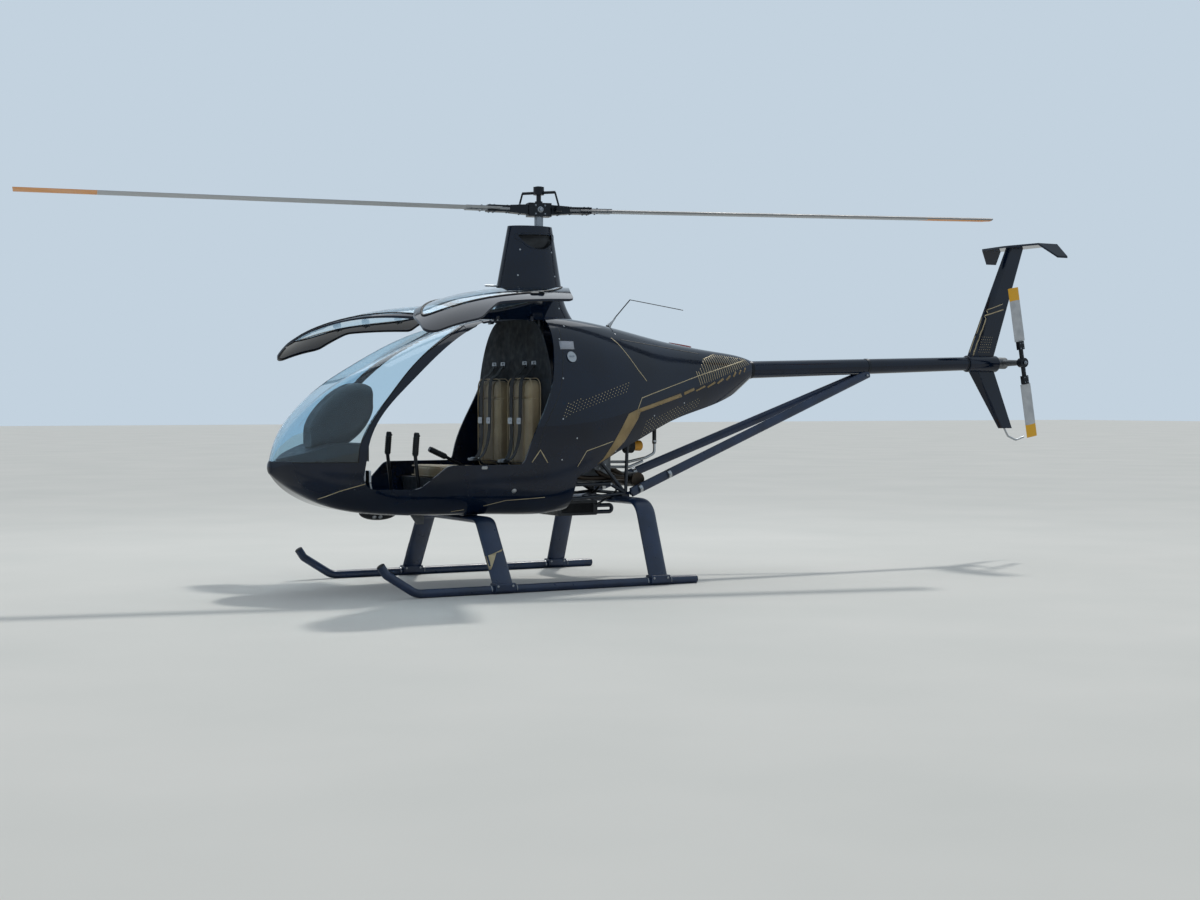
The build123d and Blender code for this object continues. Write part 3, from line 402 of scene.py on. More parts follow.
def smooth_path(points, steps=6, closed=False):
    """Points along a soft curve through the given ones."""
    points = [Vector(p) for p in points]
    count = len(points)
    path = []
    for i in range(count if closed else count - 1):
        p0 = points[i - 1] if i or closed else points[i]
        p1, p2 = points[i], points[(i + 1) % count]
        p3 = points[(i + 2) % count] if i < count - 2 or closed else p2
        for k in range(steps):
            t = k / steps
            path.append(0.5 * (2 * p1 + (p2 - p0) * t + (2 * p0 - 5 * p1 + 4 * p2 - p3) * t * t
                               + (3 * p1 - p0 - 3 * p2 + p3) * t ** 3))
    if not closed:
        path.append(points[-1])
    return path


def rounded_outline(width, height, radius, steps=4):
    """A rectangle with round corners, about its own centre."""
    outline = []
    for cx, cy, start in ((1, 1, 0), (-1, 1, 90), (-1, -1, 180), (1, -1, 270)):
        for k in range(steps + 1):
            angle = math.radians(start + 90 * k / steps)
            outline.append((cx * (width / 2 - radius) + radius * math.cos(angle),
                            cy * (height / 2 - radius) + radius * math.sin(angle)))
    return outline


def facing(origin, normal, up=(0, 0, 1)):
    """A matrix that stands a plate's own z along the normal, its own y as near up as it can be."""
    z = Vector(normal).normalized()
    x = Vector(up).cross(z).normalized()
    y = z.cross(x)
    turn = Matrix((x, y, z)).transposed().to_4x4()
    return Matrix.Translation(Vector(origin)) @ turn


# The skin, and marks on it
def swing(sign, raised=True):
    """The turn of a door about its hinge line, from shut to raised or back."""
    turn = -sign * RAISED[sign] * (-1 if raised else 1)
    pivot = Vector((0, sign * HINGE_Y, HINGE_Z))
    return Matrix.Translation(pivot) @ Matrix.Rotation(turn, 4, "X") @ Matrix.Translation(-pivot)


def skin_tree(names, turns=None):
    """The surfaces of some nodes, each turned if a turn is given, ready to be met by lines."""
    verts, faces = [], []
    for name in names:
        mesh = nodes[name].data
        start = len(verts)
        turn = (turns or {}).get(name)
        verts += [turn @ v.co if turn else v.co.copy() for v in mesh.vertices]
        faces += [tuple(start + i for i in face.vertices) for face in mesh.polygons]
    return BVHTree.FromPolygons(verts, faces)


shut = {f"{side}_door_{kind}": swing(sign, raised=False)
        for side, sign in (("left", -1), ("right", 1)) for kind in ("shell", "glass")}
hull_tree = skin_tree(["lower_hull", "rear_cowling", "cabin_frame", "windshield"])
body_tree = skin_tree(["lower_hull", "rear_cowling", "cabin_frame", "windshield", *shut], shut)
fin_tree = skin_tree(["upper_fin"])
fairing_tree = skin_tree(["mast_fairing"])
OUTSIDE = 3.0


def on_skin(tree, x, z, sign, lift=0.0):
    """The point of the skin at (x, z) on one side, lifted off along the surface's normal."""
    hit, normal, _, _ = tree.ray_cast(Vector((x, sign * OUTSIDE, z)), Vector((0, -sign, 0)))
    if hit is None or hit.y * sign < 0:
        hit, normal, _, _ = tree.find_nearest(Vector((x, sign * 0.5, z)))
    if normal.y * sign < 0:
        normal = -normal
    return hit + normal * lift, normal


def patch(batch, tree, outline, sign, lift=0.0009, grid=0.03):
    """A thin film cut to an outline (x, z) and laid on the skin."""
    corners = [Vector(p) for p in outline]
    points = []
    for corner, following in zip(corners, corners[1:] + corners[:1]):
        pieces = max(1, int((following - corner).length / grid))
        points += [corner.lerp(following, k / pieces) for k in range(pieces)]
    edge_count = len(points)
    xs, zs = [p.x for p in corners], [p.y for p in corners]
    steps_x, steps_z = int((max(xs) - min(xs)) / grid), int((max(zs) - min(zs)) / grid)
    for i in range(1, steps_x + 1):
        for k in range(1, steps_z + 1):
            points.append(Vector((min(xs) + i * grid, min(zs) + k * grid)))
    ring = list(range(edge_count))
    made, _, faces, *_ = delaunay_2d_cdt(points, [], [ring], 1, 1e-6)
    verts = [on_skin(tree, p.x, p.y, sign, lift)[0] for p in made]
    batch.add(verts, [tuple(face) for face in faces])


def ribbon(batch, tree, route, width, sign, lift=0.0009, step=0.025):
    """A line of film along a route (x, z) on the skin, a constant width across."""
    route = [Vector(p) for p in route]
    path = [route[0]]
    for start, end in zip(route, route[1:]):
        pieces = max(1, int((end - start).length / step))
        path += [start.lerp(end, (k + 1) / pieces) for k in range(pieces)]
    rows = []
    for i, point in enumerate(path):
        run = (path[min(i + 1, len(path) - 1)] - path[max(i - 1, 0)]).normalized()
        across = Vector((-run.y, run.x)) * width / 2
        rows.append([on_skin(tree, *(point + across * k), sign, lift)[0] for k in (-1, 0, 1)])
    verts = [v for row in rows for v in row]
    starts = [3 * i + k for i in range(len(rows) - 1) for k in (0, 1)]
    batch.add(verts, [(s, s + 1, s + 4, s + 3) for s in starts])


def dot(batch, tree, x, z, radius, sign, lift=0.0009):
    """A round spot of film on the skin."""
    centre, normal = on_skin(tree, x, z, sign, lift)
    side = normal.orthogonal().normalized()
    batch.add(circle(centre, side, normal.cross(side), radius, 8), [tuple(range(8))])


def button(batch, tree, x, z, sign, profile, sides=14, sink=0.0006):
    """A small turned head set into the skin."""
    point, normal = on_skin(tree, x, z, sign)
    batch.turned(point - normal * sink, normal, profile, sides)


def film(batch, name, material, slot="hull_paint"):
    """Gives the laid film its thickness and makes it a piece."""
    piece = batch.make(name, material, slot, angle=60)
    thick = piece.modifiers.new("film_thickness", "SOLIDIFY")
    thick.thickness = 0.0008
    thick.offset = 0
    return piece


# Marks on the skin, by their corners or their routes
WIDE_STRIPE = [(0.391, 1.043), (0.47, 1.072), (0.492, 1.053), (0.472, 1.011), (0.369, 0.874),
               (0.268, 0.787), (0.16, 0.733), (0.204, 0.769), (0.259, 0.844), (0.318, 0.931)]
STRIPE_ARM = [(0.47, 1.072), (0.863, 1.171), (0.875, 1.149), (0.492, 1.053)]
DASHES = [
    [(0.892, 1.178), (0.987, 1.208), (0.993, 1.192), (0.897, 1.159)],
    [(1.002, 1.19), (1.087, 1.224), (1.098, 1.214), (1.011, 1.184)],
    [(1.112, 1.216), (1.185, 1.252), (1.19, 1.238), (1.117, 1.206)],
    [(1.205, 1.24), (1.262, 1.276), (1.27, 1.262), (1.214, 1.232)],
    [(1.288, 1.262), (1.33, 1.296), (1.34, 1.284), (1.302, 1.256)],
    [(1.357, 1.284), (1.384, 1.318), (1.396, 1.31), (1.371, 1.28)],
    [(1.415, 1.3), (1.437, 1.33), (1.447, 1.324), (1.428, 1.298)],
    [(1.465, 1.314), (1.484, 1.343), (1.493, 1.338), (1.476, 1.312)],
]
THIN_LINE = [(0.47, 1.072), (0.506, 1.141), (0.598, 1.167), (1.048, 1.288), (1.487, 1.39)]
# A pale line along a shoulder crease of the cowling is a painted highlight, not a stripe
CREASE_HIGHLIGHT = [(0.345, 1.514), (0.382, 1.481), (0.436, 1.405), (0.497, 1.316), (0.557, 1.247)]
PANEL_LINE = [(0.008, 0.724), (0.067, 0.819), (0.183, 0.851), (0.269, 0.875)]
CHEVRON = [(-0.315, 0.756), (-0.265, 0.83), (-0.208, 0.752)]
NOSE_LINE = [(-1.531, 0.553), (-1.43, 0.6), (-1.303, 0.641)]
KEEL_LINE = [(-0.577, 0.497), (-0.445, 0.528), (-0.186, 0.541)]
BELLY_LINE = [(-0.765, 0.466), (-0.69, 0.477)]
BLANK_PLATE = [(-0.072, 1.486), (0.032, 1.485), (0.023, 1.436), (-0.078, 1.435)]
STUDS = [(0.018, 1.394), (-0.064, 1.498), (-0.093, 1.258), (-0.112, 1.014), (-0.011, 0.897),
         (-0.11, 0.768), (0.3, 0.812), (0.62, 1.03), (0.9, 1.11), (0.01, 1.58), (0.4, 1.54)]

DOT_BANDS = [
    ([(-0.113, 1.015), (-0.044, 1.051), (0.139, 1.107), (0.27, 1.148), (0.389, 1.182), (0.408, 1.201)],
     [(-0.074, 1.11), (0.166, 1.17), (0.414, 1.24)]),
    ([(0.513, 0.904), (0.639, 0.952), (0.804, 1.009), (1.058, 1.1)],
     [(0.537, 0.999), (0.734, 1.055), (1.05, 1.139)]),
]
DOT_STEP, DOT_RISE, DOT_LEAN, DOT_SIZE = 0.0245, 0.0185, 0.0085, 0.0028
HATCH_LOW = [(1.04, 1.222), (1.19, 1.262), (1.335, 1.305), (1.48, 1.35), (1.54, 1.366)]
HATCH_TOP = [(1.04, 1.312), (1.106, 1.393), (1.23, 1.428), (1.497, 1.403), (1.54, 1.394)]


def height_at(route, x):
    """The height of a route at x."""
    for (x0, z0), (x1, z1) in zip(route, route[1:]):
        if x <= x1 or (x1, z1) == route[-1]:
            return z0 + (z1 - z0) * min(max((x - x0) / (x1 - x0), 0), 1)


stripes, lines, dots = Batch(), Batch(), Batch()
for side in SIDES:
    for shape in (WIDE_STRIPE, STRIPE_ARM, *DASHES):
        patch(stripes, hull_tree, shape, side)
    # Among these, the crease line is a painted highlight along the cowling's shoulder
    for route, width in ((THIN_LINE, 0.005), (CREASE_HIGHLIGHT, 0.0045), (PANEL_LINE, 0.0045),
                         (CHEVRON, 0.006), (NOSE_LINE, 0.0045), (KEEL_LINE, 0.0035),
                         (BELLY_LINE, 0.0035)):
        ribbon(lines, hull_tree, route, width, side)
    ribbon(lines, hull_tree, HATCH_TOP[1:3], 0.0042, side)
    for column in range(25):
        x = 1.05 + 0.02 * column
        top_x = x - 0.032
        line = [(x, height_at(HATCH_LOW, x)), (top_x, height_at(HATCH_TOP, top_x))]
        ribbon(lines, hull_tree, line, 0.004, side)
    for low, top in DOT_BANDS:
        for column in range(int((low[-1][0] - low[0][0]) / DOT_STEP)):
            x = low[0][0] + DOT_STEP * column
            foot = height_at(low, x)
            rows = 1 + int((height_at(top, x + 0.04) - foot) / DOT_RISE)
            for row in range(rows):
                dot(dots, hull_tree, x + DOT_LEAN * row, foot + DOT_RISE * row, DOT_SIZE + 0.0001 * row, side)
film(stripes, "gold_stripes", champagne)
film(lines, "fine_lines", pale_line)
film(dots, "halftone_dots", pale_line)

fin_marks = Batch()
for side in SIDES:
    ribbon(fin_marks, fin_tree, [(3.47, 1.45), (3.592, 1.735), (3.797, 1.79)], 0.008, side)
    ribbon(fin_marks, fin_tree, [(3.612, 1.775), (3.79, 1.83)], 0.006, side)
    for column in range(6):
        for row in range(7):
            dot(fin_marks, fin_tree, 3.56 + 0.02 * column + 0.005 * row, 1.478 + 0.018 * row, 0.0028, side)
film(fin_marks, "fin_lines", pale_line)

plates = Batch()
patch(plates, hull_tree, BLANK_PLATE, -1)
film(plates, "blank_plate", blank_film)

studs = Batch()
for side in SIDES:
    for x, z in STUDS:
        button(studs, hull_tree, x, z, side, [(0, 0.0055), (0.0022, 0.0052), (0.0032, 0.0035)], sink=0.001)
studs.make("skin_fasteners", alloy, "bare_metal")

# Seals: round the windscreen, along its foot and round each door's window
PILLAR_FRONT = [(-1.348, 0.765), (-1.324, 0.902), (-1.174, 1.139), (-0.937, 1.387), (-0.594, 1.591),
                (-0.47, 1.64)]
WINDOW = [(-1.248, 0.85), (-1.085, 1.12), (-0.64, 1.498), (-0.43, 1.56), (-0.205, 1.48),
          (-0.228, 1.21), (-0.352, 0.985), (-0.52, 0.88), (-0.9, 0.826), (-1.18, 0.8)]


def flat_curve(points, steps=8, closed=False):
    """A soft curve through places on the skin."""
    return [(p.x, p.y) for p in smooth_path([(x, z, 0) for x, z in points], steps, closed)]


seals = Batch()
for side in SIDES:
    pillar = [on_skin(hull_tree, x, z, side, 0.0006)[0] for x, z in flat_curve(PILLAR_FRONT)[:-2]]
    seals.tube(pillar, 0.0042, 8, flat=0.6)
foot = [on_skin(hull_tree, -1.348 - 0.33 * k / 14, 0.766, -1, 0.0006)[0] for k in range(15)]
foot += [Vector((p.x, -p.y, p.z)) for p in reversed(foot)]
seals.tube(foot, 0.004, 8, flat=0.6)
seals.make("windscreen_seal", rubber, "black_part")

for side in SIDES:
    gasket = Batch()
    turn = swing(side)
    ring = [on_skin(body_tree, x, z, side, 0.0)[0] for x, z in flat_curve(WINDOW, 8, True)]
    gasket.tube([turn @ p for p in ring], 0.0075, 8, closed=True, flat=0.75)
    gasket.make(f"{LABEL[side]}_door_gasket", rubber, "black_part", DOOR_BODY[side])

# Leg bands in pale gold, on the outer face of each front leg
LEG_BAND = [(-0.644, 0.213), (-0.52, 0.252), (-0.52, 0.24), (-0.577, 0.23), (-0.636, 0.138), (-0.644, 0.138)]
leg_tree = skin_tree(["front_gear_bow"])
leg_bands = Batch()
for side in SIDES:
    patch(leg_bands, leg_tree, LEG_BAND, side, grid=0.02)
film(leg_bands, "leg_bands", pale_line, slot="gear_blue")


# Door fittings
HANDLE_PLACE = (-0.56, 0.84)
STRIKER_PLACE = (-0.621, 0.729)
CATCH_PLACES = [(-0.933, 0.85), (-0.737, 0.862), (-0.52, 0.9)]
SHELL_WALL = 0.012
DOOR_EDGE = [(-1.292, 0.79), (-1.306, 0.621), (-0.996, 0.621), (-0.838, 0.759), (-0.382, 0.759),
             (-0.352, 0.85)]
DOOR_EDGE_RADII = (0.068, 0.082, 0.078, 0.038)


def rounded_route(corners, radii, steps=8):
    """A route through the corners, each one rounded to its radius, with short straight pieces between."""
    path = [Vector(corners[0])]
    for before, corner, after, radius in zip(corners, corners[1:], corners[2:], radii):
        corner = Vector(corner)
        into, away = (Vector(before) - corner).normalized(), (Vector(after) - corner).normalized()
        half = into.angle(away) / 2
        middle = corner + (into + away).normalized() * (radius / math.sin(half))
        first = corner + into * (radius / math.tan(half)) - middle
        last = corner + away * (radius / math.tan(half)) - middle
        turn = first.angle_signed(last)
        path += [middle + Matrix.Rotation(-turn * k / steps, 2) @ first for k in range(steps + 1)]
    path.append(Vector(corners[-1]))
    route = []
    for start, end in zip(path, path[1:]):
        pieces = max(1, int((end - start).length / 0.03))
        route += [start.lerp(end, k / pieces) for k in range(pieces)]
    return route + [path[-1]]

for side in SIDES:
    body, label = DOOR_BODY[side], LABEL[side]
    turn = swing(side)
    fittings = Batch()
    point, normal = on_skin(body_tree, *HANDLE_PLACE, side)
    handle = turn @ facing(point + normal * 0.004, normal)
    fittings.plate(0.085, 0.026, 0.012, 0.008, handle)
    fittings.plate(0.03, 0.018, 0.008, 0.016, handle @ Matrix.Translation((0.024, 0, 0.002)))
    for place in CATCH_PLACES:
        point, normal = on_skin(body_tree, *place, side)
        catch = turn @ facing(point - normal * (SHELL_WALL + 0.006), -normal)
        fittings.plate(0.05, 0.022, 0.006, 0.012, catch)
        fittings.plate(0.014, 0.03, 0.005, 0.018, catch @ Matrix.Translation((0, 0, 0.006)))
        for step in (-0.018, 0.018):
            fittings.bolt(catch @ Vector((step, 0, 0.006)), turn.to_3x3() @ -normal, 0.0035)
    fittings.make(f"{label}_door_fittings", satin_black, "black_part", body, 0.0012)
    # A rubber seal follows the shut door's lower edge
    edge = [on_skin(body_tree, x, z, side, -0.013)[0] for x, z in rounded_route(DOOR_EDGE, DOOR_EDGE_RADII)]
    seal = Batch()
    seal.tube([turn @ p for p in edge], 0.0055, 8)
    seal.make(f"{label}_door_seal", rubber, "black_part", body)

strikers = Batch()
for side in SIDES:
    point, normal = on_skin(hull_tree, *STRIKER_PLACE, side)
    plate = facing(point + normal * 0.0015, normal)
    strikers.plate(0.036, 0.018, 0.006, 0.003, plate)
    for step in (-0.011, 0.011):
        strikers.bolt(plate @ Vector((step, 0, 0.001)), normal, 0.003)
    button(strikers, hull_tree, -0.406, 0.585, side, [(0, 0.016), (0.003, 0.015), (0.005, 0.01)], 20, 0.001)
strikers.make("sill_strikers", alloy, "bare_metal", bevel=0.0006)


# Seats: padded covers blown up as cloth, with sewn channels and piping
def blown_pad(width, height, thick, radius):
    """A soft pad that lies on its own x and y, swollen a little by cloth pressure."""
    start = Batch()
    start.plate(width, height, radius, thick, Matrix.Translation((0, 0, thick / 2)), 6)
    pad = start.form("pad_start")
    rounding = pad.modifiers.new("round_edges", "BEVEL")
    rounding.width = 0.3 * thick
    rounding.segments = 4
    cells = pad.modifiers.new("cells", "REMESH")
    cells.mode = "VOXEL"
    cells.voxel_size = 0.006
    bake_modifiers(pad)
    before = [v.co.copy() for v in pad.data.vertices]
    cloth = pad.modifiers.new("cover", "CLOTH")
    cloth.settings.use_pressure = True
    cloth.settings.uniform_pressure_force = 4.0
    cloth.settings.quality = 4
    cloth.settings.effector_weights.gravity = 0
    for number in range(1, 21):
        bpy.context.scene.frame_set(number)
    bake_modifiers(pad)
    bpy.context.scene.frame_set(1)
    most = 0.011  # The cloth may swell this far from the pad
    for vertex, home in zip(pad.data.vertices, before):
        move = vertex.co - home
        if move.length > most:
            vertex.co = home + move * (most / move.length)
    finer = pad.modifiers.new("finer", "SUBSURF")
    finer.levels = 1
    bake_modifiers(pad)
    return pad


def bake_modifiers(piece):
    """Applies every modifier of a piece to its mesh."""
    seen_as = piece.evaluated_get(bpy.context.evaluated_depsgraph_get())
    mesh = bpy.data.meshes.new_from_object(seen_as)
    piece.modifiers.clear()
    piece.data = mesh


def sew(pad, thick, seams, depth=0.009, half_wide=0.006):
    """Presses sewn channels into the pad's face: each seam is (axis, where along it)."""
    for vertex in pad.data.vertices:
        if vertex.co.z < 0.4 * thick:
            continue
        for axis, where in seams:
            off = abs(vertex.co[axis] - where)
            vertex.co.z -= depth * math.exp(-(off / half_wide) ** 2)


def seat_cover(name, node, place, width, height, thick, seams):
    """A padded cover with its piping, in place of one of the cushions."""
    pad = blown_pad(width - 0.012, height - 0.012, thick - 0.012, 0.06)
    sew(pad, thick, seams)
    pad.data.transform(place)
    pad.name = name
    dress(pad, leatherette, angle=80)
    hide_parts(node)
    piping = Batch()
    outline = rounded_outline(width - 0.01, height - 0.01, 0.06, 6)
    for level in (0.14 * thick, 0.86 * thick):
        piping.tube([place @ Vector((x, y, level)) for x, y in outline], 0.0036, 8, closed=True)
    trim = piping.make(name + "_piping", leatherette, "seat_cover")
    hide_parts(node)


SEAT_Y = 0.215
PAD_WIDE, PAD_LONG, PAD_THICK = 0.35, 0.467, 0.08
BACK_HIGH, BACK_THICK = 0.56, 0.075
PAD_PLACE = (-0.4915, 0.6415)
BACK_PLACE = (-0.1753, 0.985)
for side in SIDES:
    under = facing((PAD_PLACE[0], side * SEAT_Y, PAD_PLACE[1]), (0.035, 0, 1), (-1, 0, 0))
    behind = facing((BACK_PLACE[0], side * SEAT_Y, BACK_PLACE[1]), (-1, 0, 0))
    seat_cover(f"{LABEL[side]}_seat_pad", "seat_cushions", under, PAD_WIDE, PAD_LONG, PAD_THICK,
               [(0, -0.075), (0, 0.075), (1, 0.15)])
    seat_cover(f"{LABEL[side]}_back_pad", "back_cushions", behind, PAD_WIDE, BACK_HIGH, BACK_THICK,
               [(0, -0.075), (0, 0.075), (1, 0.155)])


# Harnesses: black webbing over the cushions, with buckles and adjusters
def strap(batch, route, outward, width=0.044, thick=0.0024):
    """A flat belt along a route; outward is the way that its face looks at each point."""
    path = smooth_path(route, 5)
    count = len(path)
    rings = []
    for i, point in enumerate(path):
        run = (path[min(i + 1, count - 1)] - path[max(i - 1, 0)]).normalized()
        along = i / (count - 1) * (len(outward) - 1)
        first = min(int(along), len(outward) - 2)
        face = Vector(outward[first]).lerp(Vector(outward[first + 1]), along - first)
        across = run.cross(face).normalized() * width / 2
        lift = across.cross(run).normalized() * thick / 2
        rings.append([point - across - lift, point + across - lift, point + across + lift,
                      point - across + lift])
    batch.cover(rings)


FORWARD, UPWARD = (-1, 0, 0), (0, 0, 1)
for side in SIDES:
    belts, metal = Batch(), Batch()
    middle = side * SEAT_Y
    for off in (-1, 1):
        y = middle + off * 0.062
        strap(belts, [(-0.178, y, 1.345), (-0.215, y, 1.292), (-0.262, y, 1.24), (-0.27, y, 1.05),
                      (-0.272, y - off * 0.01, 0.9), (-0.3, y - off * 0.028, 0.79),
                      (-0.352, middle + off * 0.02, 0.748)],
              [FORWARD, (-1, 0, 1), FORWARD, FORWARD, FORWARD, (-1, 0, 1), UPWARD])
        strap(belts, [(-0.215, middle + off * 0.184, 0.665), (-0.232, middle + off * 0.19, 0.715),
                      (-0.285, middle + off * 0.15, 0.748), (-0.345, middle + off * 0.03, 0.747)],
              [(0, off, 0), (0, off, 0.6), UPWARD, UPWARD])
        adjuster = facing((-0.277, y - off * 0.002, 1.0), FORWARD)
        metal.plate(0.056, 0.04, 0.006, 0.005, adjuster)
        metal.plate(0.02, 0.006, 0.002, 0.009, adjuster)
        anchor = facing((-0.176, y, 1.35), FORWARD)
        metal.plate(0.06, 0.034, 0.008, 0.004, anchor)
        metal.bolt(anchor @ Vector((0, 0.006, 0.002)), FORWARD, 0.006)
    buckle = facing((-0.352, middle, 0.756), UPWARD, FORWARD)
    metal.plate(0.062, 0.062, 0.014, 0.016, buckle)
    metal.turned(buckle @ Vector((0, 0, 0.007)), UPWARD, [(0, 0.019), (0.005, 0.018), (0.007, 0.013)], 24)
    belts.make(f"{LABEL[side]}_harness", webbing, "black_part", angle=50)
    metal.make(f"{LABEL[side]}_harness_buckles", steel, "bare_metal", bevel=0.001)


# Instruments on the pod's aft face: two dials each side of a dark display, switches below
PANEL = facing((-1.176, 0, 1.118), (1, 0, 0))
AFT = Vector((1, 0, 0))
bezels, dials, marks, glass = Batch(), Batch(), Batch(), Batch()
bezels.plate(0.28, 0.15, 0.04, 0.004, PANEL @ Matrix.Translation((0, 0, 0.002)), 6)
bezels.plate(0.118, 0.086, 0.01, 0.009, PANEL @ Matrix.Translation((0, 0.016, 0.005)))
glass.plate(0.102, 0.07, 0.004, 0.002, PANEL @ Matrix.Translation((0, 0.016, 0.0102)))
for column in SIDES:
    for height in (0.038, -0.03):
        centre = PANEL @ Vector((column * 0.096, height, 0.004))
        bezels.turned(centre, AFT, [(0, 0.031), (0.006, 0.031), (0.007, 0.029), (0.007, 0.0265),
                                    (0.002, 0.0265)], 32)
        dials.turned(centre, AFT, [(0.0015, 0.0262), (0.0028, 0.0262)], 32)
        for step in range(11):
            angle = math.radians(225 - 27 * step)
            out_y, out_z = math.cos(angle), math.sin(angle)
            tick = facing(centre + AFT * 0.0031 + Vector((0, out_y, out_z)) * 0.0225, AFT,
                          (0, out_y, out_z))
            marks.slab([(-0.0006, -0.0025), (0.0006, -0.0025), (0.0006, 0.0025), (-0.0006, 0.0025)],
                       0.0004, tick)
        angle = math.radians(225 - 60 - 45 * column)
        hand = facing(centre + AFT * 0.0036, AFT, (0, math.cos(angle), math.sin(angle)))
        marks.slab([(-0.0014, -0.004), (0.0014, -0.004), (0.0004, 0.019), (-0.0004, 0.019)], 0.0004, hand)
for step in range(5):
    base = PANEL @ Vector((-0.048 + 0.024 * step, -0.05, 0.004))
    bezels.turned(base, AFT, [(0, 0.0075), (0.003, 0.007), (0.004, 0.0045)], 12)
    lean = AFT + Vector((0, 0, 0.35 if step % 2 else -0.35))
    bezels.turned(base, lean, [(0.002, 0.0022), (0.015, 0.003)], 8)
bezels.make("instrument_bezels", black_abs, "black_part", bevel=0.0008)
dials.make("dial_faces", dial_face, "black_part")
marks.make("dial_marks", dial_mark, "bare_metal")
glass.make("display_glass", screen_glass, "black_part")

# Ribbed grips on the sticks and the lever between the seats
grips = Batch()
for y in (-0.215, 0.215):
    foot, head = Vector((-0.9348, y, 0.8)), Vector((-0.925, y, 0.925))
    axis = (head - foot).normalized()
    ribs = [(0.004 + 0.013 * k + step, 0.0178 + rise) for k in range(8)
            for step, rise in ((0, 0), (0.003, 0.0022), (0.007, 0.0022), (0.01, 0))]
    grips.turned(foot, axis, ribs, 24)
    grips.turned(head - axis * 0.001, axis, [(0, 0.0165), (0.006, 0.0155), (0.01, 0.011)], 24)
    grips.turned(head - axis * 0.012 + Vector((0.017, 0, 0)), AFT, [(-0.004, 0.007), (0.004, 0.006)], 14)
lever_foot, lever_head = Vector((-0.64, 0, 0.78)), Vector((-0.75, 0, 0.83))
axis = (lever_head - lever_foot).normalized()
grips.turned(lever_foot, axis, [(0.006 + 0.012 * k + step, 0.0168 + rise) for k in range(9)
                                for step, rise in ((0, 0), (0.003, 0.002), (0.006, 0.002), (0.009, 0))], 24)
grips.make("stick_grips", rubber, "black_part")

# Engine bay: what hangs on the block, the frame and the radiator
def hose(batch, route, radius, steps=8, sides=12):
    """A round line along a soft curve."""
    batch.tube(smooth_path(route, steps), radius, sides)


def clamp_band(batch, centre, axis, radius, width=0.012):
    """A worm-drive clamp round a hose or pipe, with its screw housing."""
    axis = Vector(axis).normalized()
    start = Vector(centre) - axis * width / 2
    outer = radius + 0.0016
    batch.turned(start, axis, [(0, radius), (0, outer), (width, outer), (width, radius)], 24)
    side = axis.orthogonal().normalized()
    batch.turned(Vector(centre) + side * (radius + 0.004) - axis.cross(side) * 0.009, axis.cross(side),
                 [(0, 0.0035), (0.018, 0.0035), (0.02, 0.0025)], 10)


leads, oil_lines, hot, bright, black = Batch(), Batch(), Batch(), Batch(), Batch()
BARREL_XS, BARREL_Z, BARREL_END = (0.15, 0.33), 0.745, 0.192
for side in SIDES:
    for x in BARREL_XS:
        # Cover bolts in a ring, a plug cap with its lead, and the exhaust stub
        for step in range(6):
            angle = math.tau * (step + 0.5) / 6
            bright.bolt((x + 0.046 * math.cos(angle), side * BARREL_END, BARREL_Z + 0.046 * math.sin(angle)),
                        (0, side, 0), 0.004)
        black.turned((x + 0.018, side * 0.168, BARREL_Z + 0.05), (0, side * 0.3, 1),
                     [(0, 0.0085), (0.022, 0.0085), (0.026, 0.006), (0.038, 0.0055)], 14)
        hose(leads, [(x + 0.018, side * 0.18, BARREL_Z + 0.088), (x + 0.01, side * 0.172, 0.868),
                     (x * 0.4 + 0.15, side * 0.12, 0.905), (0.24, side * 0.062, 0.912)], 0.0036)
        hose(hot, [(x, side * 0.15, BARREL_Z - 0.048), (x + 0.012, side * 0.16, 0.672),
                   (x + 0.08, side * 0.166, 0.64), (0.5, side * 0.15, 0.636),
                   (0.56, side * 0.138, 0.628), (0.58, side * 0.132, 0.624)], 0.0155, 8, 16)
    for y in (0.06, 0.165):
        hot.turned((0.612, side * y - 0.006, 0.622), (0, 1, 0),
                   [(0, 0.046), (0, 0.0482), (0.012, 0.0482), (0.012, 0.046)], 32)
    hose(oil_lines, [(0.08, side * 0.09, 0.87), (0.06, side * 0.13, 0.94), (0.07, side * 0.12, 1.01),
                     (0.06, side * 0.1, 1.06)], 0.0065)
# Coolant hose clamps, and two braided lines that follow the frame down to the radiator
clamp_band(bright, (0.722, -0.205, 0.866), (0, 0, 1), 0.0132)
clamp_band(bright, (0.722, -0.205, 0.972), (0, 0, 1), 0.0132)
hose(oil_lines, [(0.455, -0.06, 0.65), (0.492, -0.1, 0.61), (0.47, -0.15, 0.55), (0.38, -0.166, 0.5),
                 (0.32, -0.166, 0.47)], 0.007)
hose(oil_lines, [(0.455, 0.06, 0.65), (0.5, 0.09, 0.6), (0.48, 0.14, 0.54), (0.4, 0.16, 0.49),
                 (0.328, 0.15, 0.47)], 0.007)
# Pulleys and belt on the block's aft face, a starter beside it, the intake box's lid bolts
for y, z, radius in ((0.0, 0.7, 0.062), (0.03, 0.815, 0.03)):
    bright.turned((0.456, y, z), AFT, [(0, radius), (0.004, radius), (0.008, radius - 0.006),
                                      (0.014, radius - 0.006), (0.018, radius), (0.022, radius),
                                      (0.022, 0.016), (0.03, 0.014)], 32)
belt_arc = [math.radians(20 * k - 95) for k in range(10)]
belt = [(0.467, 0.062 * math.sin(t), 0.7 - 0.062 * math.cos(t)) for t in belt_arc]
belt += [(0.467, 0.03 + 0.03 * math.sin(t), 0.815 - 0.03 * math.cos(t))
         for t in [math.radians(20 * k + 80) for k in range(11)]]
black.tube(belt, 0.0052, 8, closed=True)
bright.turned((0.33, -0.075, 0.628), AFT, [(0, 0.02), (0.004, 0.024), (0.09, 0.024), (0.1, 0.018),
                                           (0.112, 0.012)], 24)
